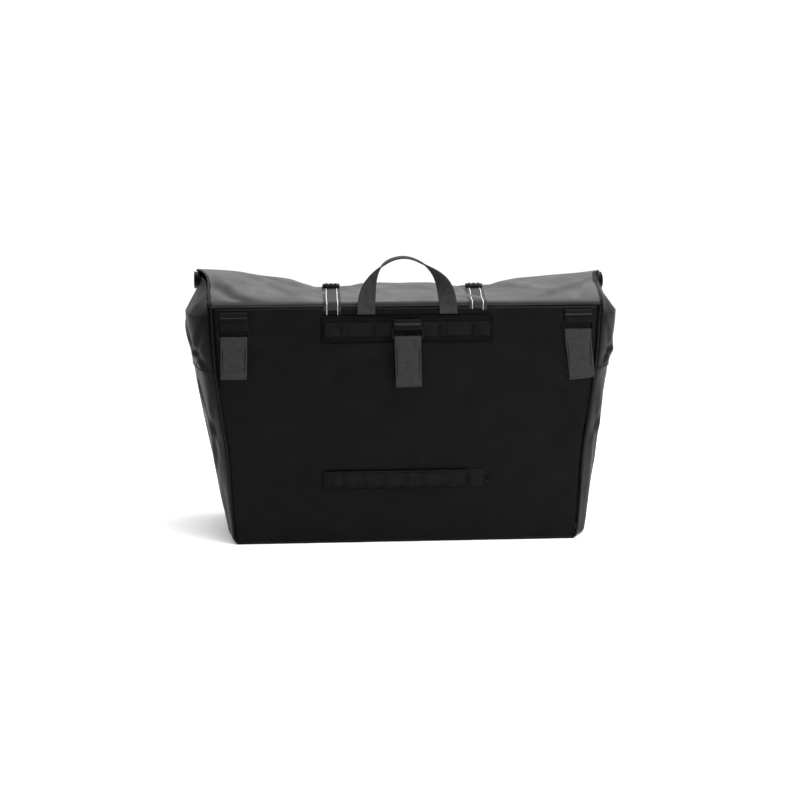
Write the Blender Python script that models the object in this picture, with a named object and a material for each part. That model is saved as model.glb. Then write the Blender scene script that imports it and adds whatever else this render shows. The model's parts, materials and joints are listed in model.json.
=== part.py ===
"""A large roll-top pannier bag, seen from the side that faces the bicycle rack.

The frame is in metres: +X along the bag's width, +Y away from the rack, +Z up. The origin is under
the middle of the bag, on the surface that it stands on. Soft walls are plain closed sheets.
"""

import math

import bmesh
import bpy
from mathutils import Vector

GAP = 0.0003  # left between pieces that touch

# The bag's body
BACK_Y = -0.100
FRONT_Y = 0.0985
TOP_BACK = 0.336
TOP_FRONT = 0.318
CROSS_SEAM = 0.245
CORNER = 0.014
PANEL_RECESS = 0.001
PANEL_THICK = 0.0025
SOFT_THICK = 0.0016
SEAM_R = 0.0022
PANEL_HALF = ((0.0, 0.244), (0.05, 0.248), (0.13, 0.2525), (0.2, 0.262), (0.25, 0.2676), (0.336, 0.273))
SIDE_HALF = ((0.0, 0.2586), (0.014, 0.2615), (0.034, 0.2652), (0.048, 0.2681), (0.105, 0.2787),
             (0.147, 0.2857), (0.2, 0.2944), (0.238, 0.3003), (0.26, 0.3043), (0.28, 0.3083),
             (0.3, 0.3112), (0.3215, 0.3127), (0.336, 0.3127))
BOARD_THICK = 0.003
BASE_BOARD_THICK = 0.002
LINING_THICK = 0.0008
SIDE_START = BACK_Y + 2 * SEAM_R + GAP
SIDE_END = FRONT_Y - 2 * SEAM_R - GAP
PANEL_FACE = BACK_Y + PANEL_RECESS
FRONT_FACE = FRONT_Y - PANEL_RECESS

# The rolled top
HINGE = (0.0, PANEL_FACE + 0.0012, TOP_BACK)
TOP_SEAM_R = 0.0014
COLLAR_START = 0.3385
COLLAR_KNEE = 0.0040
RIDGE_MIDDLE = 0.351
RIDGE_RISE = {  # height above the middle, by distance from the middle
    "left": ((0, 0), (0.086, 0.0030), (0.118, 0.0030), (0.15, 0.0085), (0.19, 0.0125), (0.23, 0.0195),
             (0.26, 0.0222), (0.296, 0.0240)),
    "right": ((0, 0), (0.086, 0.0020), (0.118, 0.0020), (0.15, 0.0046), (0.19, 0.0075), (0.23, 0.0110),
              (0.26, 0.0138), (0.296, 0.0190)),
}
RIDGE_DIP = 0.007
DIP_FLAT = 0.016
DIP_WIDTH = 0.030
RIDGE_STOPS = (0.0, 0.035, 0.065, 0.086, 0.118, 0.150, 0.190, 0.230, 0.260)
COLLAR_END_Y = 0.022
COLLAR_HALF = (0.2725, 0.284)
ROLL_HALF = 0.296
ROLL_Y = 0.046
ROLL_A = 0.0215
ROLL_B = 0.0138
ROLL_CORE_A = 0.0125
ROLL_CORE_B = 0.0050
ROLL_TURNS = 2.25
BATTEN_HALF = 0.285
BATTEN_THICK = 0.002
FRONT_EDGE = (0.0945, 0.3215)
FRONT_SAG = (0.070, 0.3232)

# Webbing and hardware
WIDE_WEB = 0.038
WEB = 0.025
WEB_THICK = 0.0016
WIRE_R = 0.0015
CLOSURE_X = 0.102
HANDLE_X = 0.0573
HANDLE_Y = -0.1050
HANDLE_LEAN = 0.0050
HANDLE_FOOT = 0.3265
HANDLE_RISE = 0.0788
HANDLE_THICK = 0.0024
HANDLE_TWIST = math.radians(68)
PATCH_Z = (0.287, 0.325)
PATCH_HALF = 0.119
PATCH_THICK = 0.0018
END_TUCK = 0.023  # how far the handle and straps run down under the patch
DAISY_Z = (0.2960, 0.3155)
DAISY_PITCH = 0.046
DAISY_HALF = 0.1155
DAISY_LIFT = 0.0012
RACK_STRAPS = {  # x, y and z of the ring's upper bar, top of the webbing, bottom of the tab
    "left": (-0.241, -0.1030, 0.3080, 0.3304, 0.237),
    "centre": (0.0, -0.1100, 0.3080, 0.3195, 0.225),
    "right": (0.240, -0.1030, 0.3150, 0.3305, 0.233),
}
RING_DROP = 0.0145
RING_HALF = 0.0212
RING_CORNER = 0.0021
RING_LEAN = 0.05
TAB_LEAN = 0.0015
EYE_R = 0.0027  # centre of the webbing, measured from the wire's centre
LAYERS = 0.45 * EYE_R  # half the distance between the two layers below the eye
HOOK_HALF = 0.016
HOOK_Z = (0.004, 0.030)  # above the tab's lower edge
HOOK_THICK = 0.0006
LOWER_STRAP_X = (-0.118, 0.122)
LOWER_STRAP_Z = (0.0795, 0.1045)
LOWER_TAIL_X = (-0.1160, 0.086)
LOWER_GRIP_X = (-0.090, 0.076)
GRIP_THICK = 0.0012

# Buckles at the front: distances from the front face, and heights
BUCKLE_HALF = 0.017
BUCKLE_BACK = 0.0008
BUCKLE_Z = (0.262, 0.292)
SOCKET_FRONT = 0.0135
SOCKET_WALL = 0.0023
SOCKET_SIDE = 0.003
SOCKET_ROOF = 0.0055
PLUG_Z = (0.2445, 0.2602)
PLUG_FRONT = 0.0115
TONGUE_HALF = 0.0115
TONGUE_Y = (0.0064, 0.0092)
TONGUE_TOP = 0.283
SLOT_HALF = 0.0132
SLOT_Y = (0.0022, 0.0058)
TAIL_PATCH_HALF = 0.019
TAIL_PATCH_Z = (0.172, 0.210)
TAIL_PATCH_FRONT = 0.0027
TAIL_BACK = 0.0032
TAIL_TOP = 0.2615
KEEPER_Y = (-0.003, 0.0055)
KEEPER_HEIGHT = 0.0062

SIDES = {"left": -1, "right": 1}


# ---------- shapes that follow a rule ----------

def along(table, at):
    """The value of a table of (place, value) pairs at a place, joined by straight lines."""
    for (a, low), (b, high) in zip(table, table[1:]):
        if at <= b:
            return low + (high - low) * max(0.0, (at - a) / (b - a))
    return table[-1][1]


def steps(low, high, count):
    return [low + (high - low) * i / count for i in range(count + 1)]


def smooth(t):
    t = min(1.0, max(0.0, t))
    return t * t * (3 - 2 * t)


def top_edge(y):
    """Height of the body's mouth, which falls from the back to the front."""
    t = (y - BACK_Y) / (FRONT_Y - BACK_Y)
    return TOP_BACK + (TOP_FRONT - TOP_BACK) * t


def side_x(y, z):
    """Outer half width of the bag: the side walls belly out between the two panels."""
    t = (y - BACK_Y) / (FRONT_Y - BACK_Y)
    belly = 1 - abs(2 * t - 1) ** 2.5
    panel = along(PANEL_HALF, z)
    return panel + (along(SIDE_HALF, z) - panel) * belly


def ridge(x):
    """Height of the rolled edge: it rises to its ends and dips under the two straps."""
    off = max(0.0, abs(abs(x) - CLOSURE_X) - DIP_FLAT)
    dip = RIDGE_DIP * math.exp(-((off / DIP_WIDTH) ** 2))
    rise = RIDGE_RISE["left" if x < 0 else "right"]
    return RIDGE_MIDDLE + along(rise, abs(x)) - dip


def across(half):
    """Places along the ridge, closer together near the two straps."""
    right = list(RIDGE_STOPS) + [half]
    return [-x for x in reversed(right[1:])] + right


def collar_back_profile(x):
    """Outer (y, z) points of the collar, from the back seam up to the roll."""
    top = ridge(x) - 0.0008
    shoulder = (PANEL_FACE + 0.0008, COLLAR_START)
    knee = (PANEL_FACE + 0.0030, COLLAR_START + COLLAR_KNEE)
    middle_y = (knee[0] + COLLAR_END_Y) / 2
    middle = (middle_y, knee[1] + 0.6 * (top - knee[1]))
    return [shoulder, knee, middle, (COLLAR_END_Y, top)]


def collar_front_profile(x):
    """Outer (y, z) points of the collar from under the roll down to the front edge."""
    return [(COLLAR_END_Y + 0.010, ridge(x) - 2 * ROLL_B - 0.0035), FRONT_SAG, FRONT_EDGE]


def roll_centre(x):
    return ridge(x) - ROLL_B


def panel_outline(inset, top, base=0.0):
    """Closed (x, z) outline of a panel: straight base, round lower corners, flaring sides."""
    radius = CORNER - inset
    centre = PANEL_HALF[0][1] - CORNER
    right = []
    for angle in steps(0, math.pi / 2, 5):
        right.append((centre + radius * math.sin(angle), CORNER - radius * math.cos(angle)))
    for z in steps(CORNER, top, 10)[1:]:
        right.append((along(PANEL_HALF, z) - inset, z))
    left = [(-x, z) for x, z in reversed(right)]
    return [(x, max(z, base)) for x, z in right + left]


# ---------- making objects ----------

def material(name, colour, roughness, metallic=0.0):
    made = bpy.data.materials.new(name)
    made.use_nodes = True
    shader = made.node_tree.nodes["Principled BSDF"]
    shader.inputs["Base Color"].default_value = (*colour, 1)
    shader.inputs["Roughness"].default_value = roughness
    shader.inputs["Metallic"].default_value = metallic
    return made


def add(name, mesh, finish):
    made = bpy.data.objects.new(name, mesh)
    made.data.materials.append(finish)
    bpy.context.collection.objects.link(made)
    return made


def mesh_of(name, points, faces):
    mesh = bpy.data.meshes.new(name)
    mesh.from_pydata([Vector(p) for p in points], [], faces)
    mesh.update()
    return mesh


def sheet(name, rows, thickness, finish, offset=-1.0):
    """A grid of points given a thickness. Offset -1 keeps the points on the outer face."""
    wide = len(rows[0])
    points = [p for row in rows for p in row]
    faces = []
    for i in range(len(rows) - 1):
        for j in range(wide - 1):
            a = i * wide + j
            faces.append((a, a + 1, a + wide + 1, a + wide))
    made = add(name, mesh_of(name, points, faces), finish)
    solid = made.modifiers.new("thickness", "SOLIDIFY")
    solid.thickness = thickness
    solid.offset = offset
    solid.use_even_offset = True
    return made


def plate(name, outline, low_y, high_y, finish):
    """A flat panel: an (x, z) outline pushed from one y to another."""
    mesh = bpy.data.meshes.new(name)
    shape = bmesh.new()
    face = shape.faces.new([shape.verts.new((x, low_y, z)) for x, z in outline])
    pushed = bmesh.ops.extrude_face_region(shape, geom=[face])["geom"]
    moved = [v for v in pushed if isinstance(v, bmesh.types.BMVert)]
    bmesh.ops.translate(shape, verts=moved, vec=(0, high_y - low_y, 0))
    bmesh.ops.recalc_face_normals(shape, faces=shape.faces)
    shape.to_mesh(mesh)
    shape.free()
    return add(name, mesh, finish)


def box(name, low, high, finish, bevel=0.0):
    mesh = bpy.data.meshes.new(name)
    shape = bmesh.new()
    bmesh.ops.create_cube(shape, size=1)
    for vert in shape.verts:
        vert.co = [lo + (hi - lo) * (c + 0.5) for c, lo, hi in zip(vert.co, low, high)]
    if bevel:
        bmesh.ops.bevel(shape, geom=list(shape.edges), offset=bevel, segments=2, affect="EDGES")
    shape.to_mesh(mesh)
    shape.free()
    return add(name, mesh, finish)


def cut(target, low, high):
    """Removes a box from an object."""
    cutter = box(target.name + "_cutter", low, high, target.data.materials[0])
    cutter.hide_render = True
    cutter.display_type = "WIRE"
    change = target.modifiers.new("cut", "BOOLEAN")
    change.operation = "DIFFERENCE"
    change.object = cutter


def join(target, low, high):
    """Adds a box to an object."""
    extra = box(target.name + "_extra", low, high, target.data.materials[0])
    extra.hide_render = True
    extra.display_type = "WIRE"
    change = target.modifiers.new("join", "BOOLEAN")
    change.operation = "UNION"
    change.object = extra


def tube(name, points, radius, finish, closed=False, sides=1):
    """A round bar along a line of points."""
    curve = bpy.data.curves.new(name, "CURVE")
    curve.dimensions = "3D"
    curve.bevel_depth = radius
    curve.bevel_resolution = sides
    curve.use_fill_caps = True
    line = curve.splines.new("POLY")
    line.points.add(len(points) - 1)
    for target, p in zip(line.points, points):
        target.co = (*p, 1)
    line.use_cyclic_u = closed
    return add(name, curve, finish)


def ribbon(name, profile, x, width, thickness, finish):
    """A strap of one width, centred on a (y, z) profile at one x."""
    rows = [[(x - width / 2, y, z), (x + width / 2, y, z)] for y, z in profile]
    return sheet(name, rows, thickness, finish, offset=0.0)


def pivot(name, place, pieces):
    """An empty on a joint's axis, which carries the pieces that move with it."""
    empty = bpy.data.objects.new(name, None)
    empty.empty_display_size = 0.02
    empty.location = place
    bpy.context.collection.objects.link(empty)
    bpy.context.view_layer.update()
    for piece in pieces:
        piece.parent = empty
        piece.matrix_parent_inverse = empty.matrix_world.inverted()
    return empty


# ---------- the bag's body ----------

def make_panels(cloth):
    inset = 2 * SEAM_R + GAP
    back_top = TOP_BACK - TOP_SEAM_R - GAP
    plate("back_panel", panel_outline(inset, back_top), PANEL_FACE, PANEL_FACE + PANEL_THICK, cloth)
    plate("front_panel", panel_outline(inset, TOP_FRONT), FRONT_FACE - PANEL_THICK, FRONT_FACE, cloth)


def make_seams(edge):
    for name, y, top in (("back_edge_seam", BACK_Y + SEAM_R, TOP_BACK - 0.002),
                         ("front_edge_seam", FRONT_Y - SEAM_R, TOP_FRONT)):
        loop = panel_outline(SEAM_R, top)
        half = len(loop) // 2
        tube(name, [(x, y, z) for x, z in loop[half:] + loop[:half]], SEAM_R, edge)
    half = along(PANEL_HALF, TOP_BACK) - 2 * SEAM_R
    row = [(x, HINGE[1], TOP_BACK) for x in steps(-half, half, 8)]
    tube("top_seam", row, TOP_SEAM_R, edge)


def side_rows(side, low, high):
    """Rows of points up a side wall, between two heights that may depend on y."""
    rows = []
    for t in steps(0, 1, 5):
        row = []
        for y in steps(SIDE_START, SIDE_END, 10):
            z = low(y) + (high(y) - low(y)) * t
            row.append((side * side_x(y, z), y, z))
        rows.append(row if side > 0 else row[::-1])
    return rows


def make_sides(cloth, collar_cloth):
    for name, side in SIDES.items():
        lower = side_rows(side, lambda y: CORNER + GAP, lambda y: CROSS_SEAM - GAP)
        sheet(f"gusset_{name}_lower", lower, PANEL_THICK, cloth)
        upper = side_rows(side, lambda y: CROSS_SEAM + GAP, lambda y: top_edge(y) - 2 * GAP)
        sheet(f"gusset_{name}_upper", upper, PANEL_THICK, collar_cloth)


def make_base(cloth, board):
    """The base turns up at its two ends to meet the side walls, and follows their belly."""
    rows = []
    for y in steps(SIDE_END, SIDE_START, 10):
        right = []
        for angle in steps(0, math.pi / 2, 5):
            x = side_x(y, CORNER) - CORNER * (1 - math.sin(angle))
            right.append((x, y, CORNER * (1 - math.cos(angle))))
        rows.append([(-x, y, z) for x, y, z in reversed(right)] + right)
    sheet("base_panel", rows, PANEL_THICK, cloth)
    half = PANEL_HALF[0][1] - CORNER - 0.004
    behind = PANEL_FACE + PANEL_THICK + BOARD_THICK + 0.002
    low = (-half, behind, PANEL_THICK + GAP)
    high = (half, FRONT_FACE - PANEL_THICK - 0.001, PANEL_THICK + GAP + BASE_BOARD_THICK)
    box("base_board", low, high, board)


def make_boards(board, lining):
    inner = PANEL_FACE + PANEL_THICK + GAP
    outline = panel_outline(0.012, TOP_BACK - 0.010, 0.010)
    plate("back_board", outline, inner, inner + BOARD_THICK, board)
    sleeve = panel_outline(0.010, TOP_BACK - 0.006, 0.008)
    sleeve_y = inner + BOARD_THICK + GAP
    plate("board_sleeve", sleeve, sleeve_y, sleeve_y + LINING_THICK, lining)


# ---------- the rolled top ----------

def collar_half(y):
    """Half width of the collar, which widens from the back seam to the roll."""
    return along(((PANEL_FACE, COLLAR_HALF[0]), (COLLAR_END_Y, COLLAR_HALF[1])), y)


def collar_rows(profile):
    """Rows of points across the collar, each row at one place of a profile."""
    rows = []
    for k, (y, _) in enumerate(profile(0.0)):
        rows.append([(x, *profile(x)[k]) for x in across(collar_half(y))])
    return rows


def make_collar(cloth):
    back = sheet("collar_back", collar_rows(collar_back_profile), SOFT_THICK, cloth)
    front = sheet("collar_front", collar_rows(collar_front_profile), SOFT_THICK, cloth)
    return [back, front]


def end_top(y):
    """Height of the collar's end wall, which stops under the roll."""
    x = COLLAR_HALF[1]
    profile = collar_back_profile(x) if y <= COLLAR_END_Y else collar_front_profile(x)
    return along(profile, y)


def make_collar_ends(cloth):
    ends = []
    places = steps(SIDE_START + 0.004, COLLAR_END_Y - 0.001, 6)
    places += steps(COLLAR_END_Y + 0.0012, FRONT_EDGE[0] - 0.003, 5)
    for name, side in SIDES.items():
        rows = []
        for t in steps(0, 1, 3):
            row = []
            for y in places:
                low = top_edge(y) + 3 * GAP
                high = max(end_top(y), low + 0.003)
                rim = collar_half(y) + 2.5 * SOFT_THICK
                foot = max(side_x(y, low), rim)
                x = foot + (rim - foot) * t ** 1.6
                row.append((side * x, y, low + (high - low) * t))
            rows.append(row if side > 0 else row[::-1])
        ends.append(sheet(f"collar_{name}_end", rows, SOFT_THICK, cloth))
    return ends


def roll_point(x, turn):
    """A point on the rolled sheet, counted in turns from its outer end inwards."""
    share = turn / ROLL_TURNS
    a = ROLL_A + (ROLL_CORE_A - ROLL_A) * share
    b = ROLL_B + (ROLL_CORE_B - ROLL_B) * share
    angle = -math.pi / 2 - 2 * math.pi * turn
    return (x, ROLL_Y + a * math.cos(angle), roll_centre(x) + b * math.sin(angle))


def make_roll(cloth, stiffener):
    rows = []
    for turn in steps(0, ROLL_TURNS, 30):
        rows.append([roll_point(x, turn) for x in across(ROLL_HALF)])
    roll = sheet("roll_bundle", rows, SOFT_THICK, cloth)
    half = ROLL_CORE_A - SOFT_THICK - 0.001
    rows = []
    for y in (ROLL_Y - half, ROLL_Y + half):
        rows.append([(x, y, roll_centre(x)) for x in across(BATTEN_HALF)])
    batten = sheet("roll_batten", rows, BATTEN_THICK, stiffener, offset=0.0)
    return [roll, batten]


def closure_profile(x):
    """Middle line of a closure strap, from just above the back seam to the front buckle."""
    lift = WEB_THICK / 2 + 2 * GAP
    back = collar_back_profile(x)
    line = [(back[0][0] - lift - 0.0002, COLLAR_START + 0.0025), (back[1][0] - lift * 0.7, back[1][1] + lift * 0.9)]
    line += [(back[2][0], back[2][1] + lift + 0.0002), (back[3][0], back[3][1] + lift + 0.0004)]
    middle = roll_centre(x)
    for angle in steps(math.radians(80), math.radians(-15), 5):
        y = ROLL_Y + (ROLL_A + lift + 0.0003) * math.cos(angle)
        line.append((y, middle + (ROLL_B + lift + 0.0003) * math.sin(angle)))
    line.append((FRONT_EDGE[0], FRONT_EDGE[1] + 0.0030))
    line.append((FRONT_FACE + 0.0046, FRONT_EDGE[1] - 0.0010))
    line.append((FRONT_FACE + 0.0058, BUCKLE_Z[1] + GAP))
    return line


def make_closures(web, plastic):
    straps, females, keepers, males = [], [], {}, {}
    for name, side in SIDES.items():
        x = side * CLOSURE_X
        profile = closure_profile(x)
        straps.append(ribbon(f"closure_strap_{name}", profile, x, WEB, WEB_THICK, web))
        females.append(make_female(f"buckle_female_{name}", x, plastic))
        males[name] = make_male(f"buckle_male_{name}", x, plastic)
        top = profile[3][1] + WEB_THICK / 2 + 0.0005
        low = (x - WEB / 2, COLLAR_END_Y + KEEPER_Y[0], top)
        high = (x + WEB / 2, COLLAR_END_Y + KEEPER_Y[1], top + KEEPER_HEIGHT)
        keepers[name] = box(f"strap_keeper_{name}", low, high, plastic, bevel=0.001)
    return straps + females, keepers, males


def make_female(name, x, plastic):
    """The socket half of a buckle, open below and towards the bag so that the top can lift off."""
    low = (x - BUCKLE_HALF, FRONT_FACE + BUCKLE_BACK, BUCKLE_Z[0])
    high = (x + BUCKLE_HALF, FRONT_FACE + SOCKET_FRONT, BUCKLE_Z[1])
    made = box(name, low, high, plastic)
    half = BUCKLE_HALF - SOCKET_SIDE
    low = (x - half, FRONT_FACE - 0.002, BUCKLE_Z[0] - 0.002)
    cut(made, low, (x + half, FRONT_FACE + SOCKET_FRONT - SOCKET_WALL, BUCKLE_Z[1] - SOCKET_ROOF))
    return made


def make_male(name, x, plastic):
    """The plug half of a buckle: a frame that runs on the tail webbing, and a tongue."""
    low = (x - BUCKLE_HALF, FRONT_FACE + BUCKLE_BACK, PLUG_Z[0])
    made = box(name, low, (x + BUCKLE_HALF, FRONT_FACE + PLUG_FRONT, PLUG_Z[1]), plastic)
    near, far = (FRONT_FACE + y for y in TONGUE_Y)
    join(made, (x - TONGUE_HALF, near, PLUG_Z[1] - 0.0052), (x + TONGUE_HALF, far, TONGUE_TOP))
    near, far = (FRONT_FACE + y for y in SLOT_Y)
    cut(made, (x - SLOT_HALF, near, PLUG_Z[0] - 0.0045), (x + SLOT_HALF, far, PLUG_Z[1] + 0.0028))
    return made


def make_front_tails(web, cloth):
    for name, side in SIDES.items():
        x = side * CLOSURE_X
        low = (x - TAIL_PATCH_HALF, FRONT_FACE + GAP, TAIL_PATCH_Z[0])
        high = (x + TAIL_PATCH_HALF, FRONT_FACE + TAIL_PATCH_FRONT, TAIL_PATCH_Z[1])
        box(f"front_patch_{name}", low, high, cloth)
        low = (x - WEB / 2, FRONT_FACE + TAIL_BACK, TAIL_PATCH_Z[0] + 0.004)
        high = (x + WEB / 2, FRONT_FACE + TAIL_BACK + WEB_THICK, TAIL_TOP)
        box(f"front_strap_{name}", low, high, web)


# ---------- webbing on the rack side ----------

def make_patch(web):
    """The hardware patch, the ends sewn under it, and the row of accessory loops on it."""
    under = PANEL_FACE - GAP
    for name, side in SIDES.items():
        x = side * CLOSURE_X
        low = (x - WEB / 2, under - WEB_THICK, PATCH_Z[1] - END_TUCK)
        box(f"closure_strap_end_{name}", low, (x + WEB / 2, under, TOP_BACK - 0.003), web)
        x = side * HANDLE_X
        low = (x - WEB / 2, under - WEB_THICK, PATCH_Z[1] - END_TUCK)
        box(f"handle_end_{name}", low, (x + WEB / 2, under, PATCH_Z[1] - 0.001), web)
    outer = under - WEB_THICK - GAP
    low = (-PATCH_HALF, outer - PATCH_THICK, PATCH_Z[0])
    box("hardware_patch", low, (PATCH_HALF, outer, PATCH_Z[1]), web)
    face = outer - PATCH_THICK - 1.5 * GAP
    rows = [[], []]
    for x in steps(-DAISY_HALF, DAISY_HALF, 40):
        wave = math.sin(math.pi * x / DAISY_PITCH) ** 2
        y = face - DAISY_LIFT * wave
        rows[0].append((x, y, DAISY_Z[0]))
        rows[1].append((x, y, DAISY_Z[1]))
    sheet("accessory_loop_webbing", rows, 0.0012, web, offset=1.0)


def handle_frame(angle):
    """The handle's middle point and its width direction, as it arches from foot to foot."""
    near = min(angle, math.pi - angle)
    twist = math.pi / 2 * smooth(near / HANDLE_TWIST)
    side = -1 if angle <= math.pi / 2 else 1
    point = Vector((-HANDLE_X * math.cos(angle), HANDLE_Y + HANDLE_LEAN * math.sin(angle),
                    HANDLE_FOOT + HANDLE_RISE * math.sin(angle)))
    run = Vector((HANDLE_X * math.sin(near), 0, HANDLE_RISE * math.cos(near))).normalized()
    inward = Vector((-side * run.z, 0, -run.x))
    return point, inward * math.cos(twist) + Vector((0, 1, 0)) * math.sin(twist)


def make_handle(web):
    rows = []
    for angle in steps(0, math.pi, 48):
        point, across = handle_frame(angle)
        rows.append([point - across * WEB / 2, point + across * WEB / 2])
    return sheet("carry_handle", rows, HANDLE_THICK, web, offset=0.0)


def eye_profile(y, z, end_z, end_y, down):
    """Middle line of webbing folded round a wire at (y, z), its two layers meeting at end_z."""
    far = z + (end_z - z) * 0.35
    line = [(end_y + LAYERS, end_z), (y + LAYERS + (end_y - y) * 0.35, far)]
    for angle in steps(0, math.pi, 8):
        lift = EYE_R * math.sin(angle)
        line.append((y + EYE_R * math.cos(angle), z + (lift if down else -lift)))
    line += [(y - LAYERS + (end_y - y) * 0.35, far), (end_y - LAYERS, end_z)]
    return line


def ring_points(x, y, z):
    """A rectangular wire ring with round corners, hanging a little outwards."""
    corner = RING_CORNER
    points = []
    for cx, cz, start in ((1, 0, 0), (-1, 0, 90), (-1, -1, 180), (1, -1, 270)):
        for angle in steps(start, start + 90, 4):
            turn = math.radians(angle)
            px = cx * (RING_HALF - corner) + corner * math.cos(turn)
            pz = (-corner if cz == 0 else corner - RING_DROP) + corner * math.sin(turn)
            points.append((x + px, y + pz * RING_LEAN, z + pz))
    return points


def make_rack_straps(web, wire, hook):
    rings, tabs = {}, {}
    for name, (x, y, z, top, bottom) in RACK_STRAPS.items():
        anchor = eye_profile(y, z, top, y, down=False)
        ribbon(f"rack_anchor_{name}", anchor, x, WIDE_WEB, WEB_THICK, web)
        rings[name] = tube(f"rack_ring_{name}", ring_points(x, y, z), WIRE_R, wire, closed=True)
        low_y = y - RING_LEAN * RING_DROP
        tab = eye_profile(low_y, z - RING_DROP, bottom, low_y - TAB_LEAN, down=True)
        tabs[name] = [ribbon(f"rack_tab_{name}", tab, x, WIDE_WEB - 0.001, WEB_THICK, web)]
        face = low_y - TAB_LEAN + LAYERS + WEB_THICK / 2 + 4 * GAP
        low = (x - HOOK_HALF, face, bottom + HOOK_Z[0])
        high = (x + HOOK_HALF, face + HOOK_THICK, bottom + HOOK_Z[1])
        tabs[name].append(box(f"rack_tab_hook_{name}", low, high, hook))
    return rings, tabs


def make_lower_strap(web, hook):
    low_z, high_z = LOWER_STRAP_Z
    inner = PANEL_FACE - GAP
    left, right = LOWER_STRAP_X
    box("lower_strap_base", (left, inner - WEB_THICK, low_z), (right, inner, high_z), web)
    faces = (inner - WEB_THICK - GAP, inner - WEB_THICK - GRIP_THICK - 2 * GAP)
    patches = []
    for name, face in zip(("lower_strap_loop_patch", "lower_strap_hook_patch"), faces):
        low = (LOWER_GRIP_X[0], face - GRIP_THICK, low_z + 0.002)
        patches.append(box(name, low, (LOWER_GRIP_X[1], face, high_z - 0.002), hook))
    face = faces[1] - GRIP_THICK - GAP
    start, end = LOWER_TAIL_X
    tail = box("lower_strap_tail", (start, face - WEB_THICK, low_z), (end, face, high_z), web)
    return [tail, patches[1]]


def main():
    for old in list(bpy.data.objects):
        bpy.data.objects.remove(old, do_unlink=True)
    panel = material("coated_fabric", (0.020, 0.020, 0.021), 0.55)
    collar = material("collar_fabric", (0.024, 0.024, 0.026), 0.42)
    edge = material("seam_edge", (0.016, 0.016, 0.017), 0.60)
    web = material("webbing", (0.022, 0.022, 0.023), 0.80)
    hook = material("hook_and_loop", (0.012, 0.012, 0.012), 0.95)
    wire = material("ring_wire", (0.030, 0.030, 0.032), 0.35, 1.0)
    plastic = material("buckle_plastic", (0.012, 0.012, 0.012), 0.45)
    board = material("board_plastic", (0.050, 0.050, 0.052), 0.60)
    lining = material("lining", (0.090, 0.090, 0.095), 0.80)

    make_panels(panel)
    make_seams(edge)
    make_sides(panel, collar)
    make_base(panel, board)
    make_boards(board, lining)
    make_front_tails(web, collar)
    make_patch(web)

    top = make_collar(collar) + make_collar_ends(collar) + make_roll(collar, board)
    closures, keepers, males = make_closures(web, plastic)
    hinge = pivot("roll_top_axis", HINGE, top + closures)
    for name, keeper in keepers.items():
        slide = pivot(f"strap_keeper_{name}_slide", (SIDES[name] * CLOSURE_X, COLLAR_END_Y, RIDGE_MIDDLE), [keeper])
        slide.parent = hinge
        slide.matrix_parent_inverse = hinge.matrix_world.inverted()
    for name, male in males.items():
        pivot(f"buckle_male_{name}_slide", (SIDES[name] * CLOSURE_X, FRONT_Y, PLUG_Z[0]), [male])
    pivot("handle_axis", (0, HANDLE_Y, HANDLE_FOOT - 0.001), [make_handle(web)])

    rings, tabs = make_rack_straps(web, wire, hook)
    for name, (x, y, z, _, _) in RACK_STRAPS.items():
        upper = pivot(f"rack_ring_{name}_axis", (x, y, z), [rings[name]])
        lower = pivot(f"rack_tab_{name}_axis", (x, y - RING_LEAN * RING_DROP, z - RING_DROP), tabs[name])
        lower.parent = upper
        lower.matrix_parent_inverse = upper.matrix_world.inverted()
    tail = make_lower_strap(web, hook)
    pivot("lower_strap_tail_axis", (LOWER_STRAP_X[0], -0.1030, sum(LOWER_STRAP_Z) / 2), tail)


main()
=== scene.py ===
"""The looks of a large roll-top pannier bag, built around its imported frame.

Everything is in metres in the frame's own axes: the rack side faces -Y, +Z is up.
"""

import json
import math

import bmesh
import bpy
from mathutils import Matrix, Vector, noise


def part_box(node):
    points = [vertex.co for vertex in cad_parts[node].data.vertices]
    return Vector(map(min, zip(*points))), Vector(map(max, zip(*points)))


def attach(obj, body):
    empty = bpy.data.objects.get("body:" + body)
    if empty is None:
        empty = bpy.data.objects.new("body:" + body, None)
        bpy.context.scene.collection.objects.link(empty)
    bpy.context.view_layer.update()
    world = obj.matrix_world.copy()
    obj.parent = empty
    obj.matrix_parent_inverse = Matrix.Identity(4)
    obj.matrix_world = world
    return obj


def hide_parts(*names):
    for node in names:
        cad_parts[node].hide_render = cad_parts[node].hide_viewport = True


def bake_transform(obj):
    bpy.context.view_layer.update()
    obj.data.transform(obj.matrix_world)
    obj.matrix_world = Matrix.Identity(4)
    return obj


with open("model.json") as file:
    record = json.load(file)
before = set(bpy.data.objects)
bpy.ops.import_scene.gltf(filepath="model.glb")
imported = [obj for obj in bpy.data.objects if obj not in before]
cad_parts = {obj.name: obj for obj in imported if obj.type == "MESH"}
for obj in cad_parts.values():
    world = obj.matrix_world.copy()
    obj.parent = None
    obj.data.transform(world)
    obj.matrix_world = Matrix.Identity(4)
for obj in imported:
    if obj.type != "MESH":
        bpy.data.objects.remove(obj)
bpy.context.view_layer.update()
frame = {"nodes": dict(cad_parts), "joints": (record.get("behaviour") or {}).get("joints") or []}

SIDES = {"left": -1, "right": 1}
X = Vector((1, 0, 0))
Y = Vector((0, 1, 0))
Z = Vector((0, 0, 1))


# ---------- places read from the frame ----------

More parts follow.
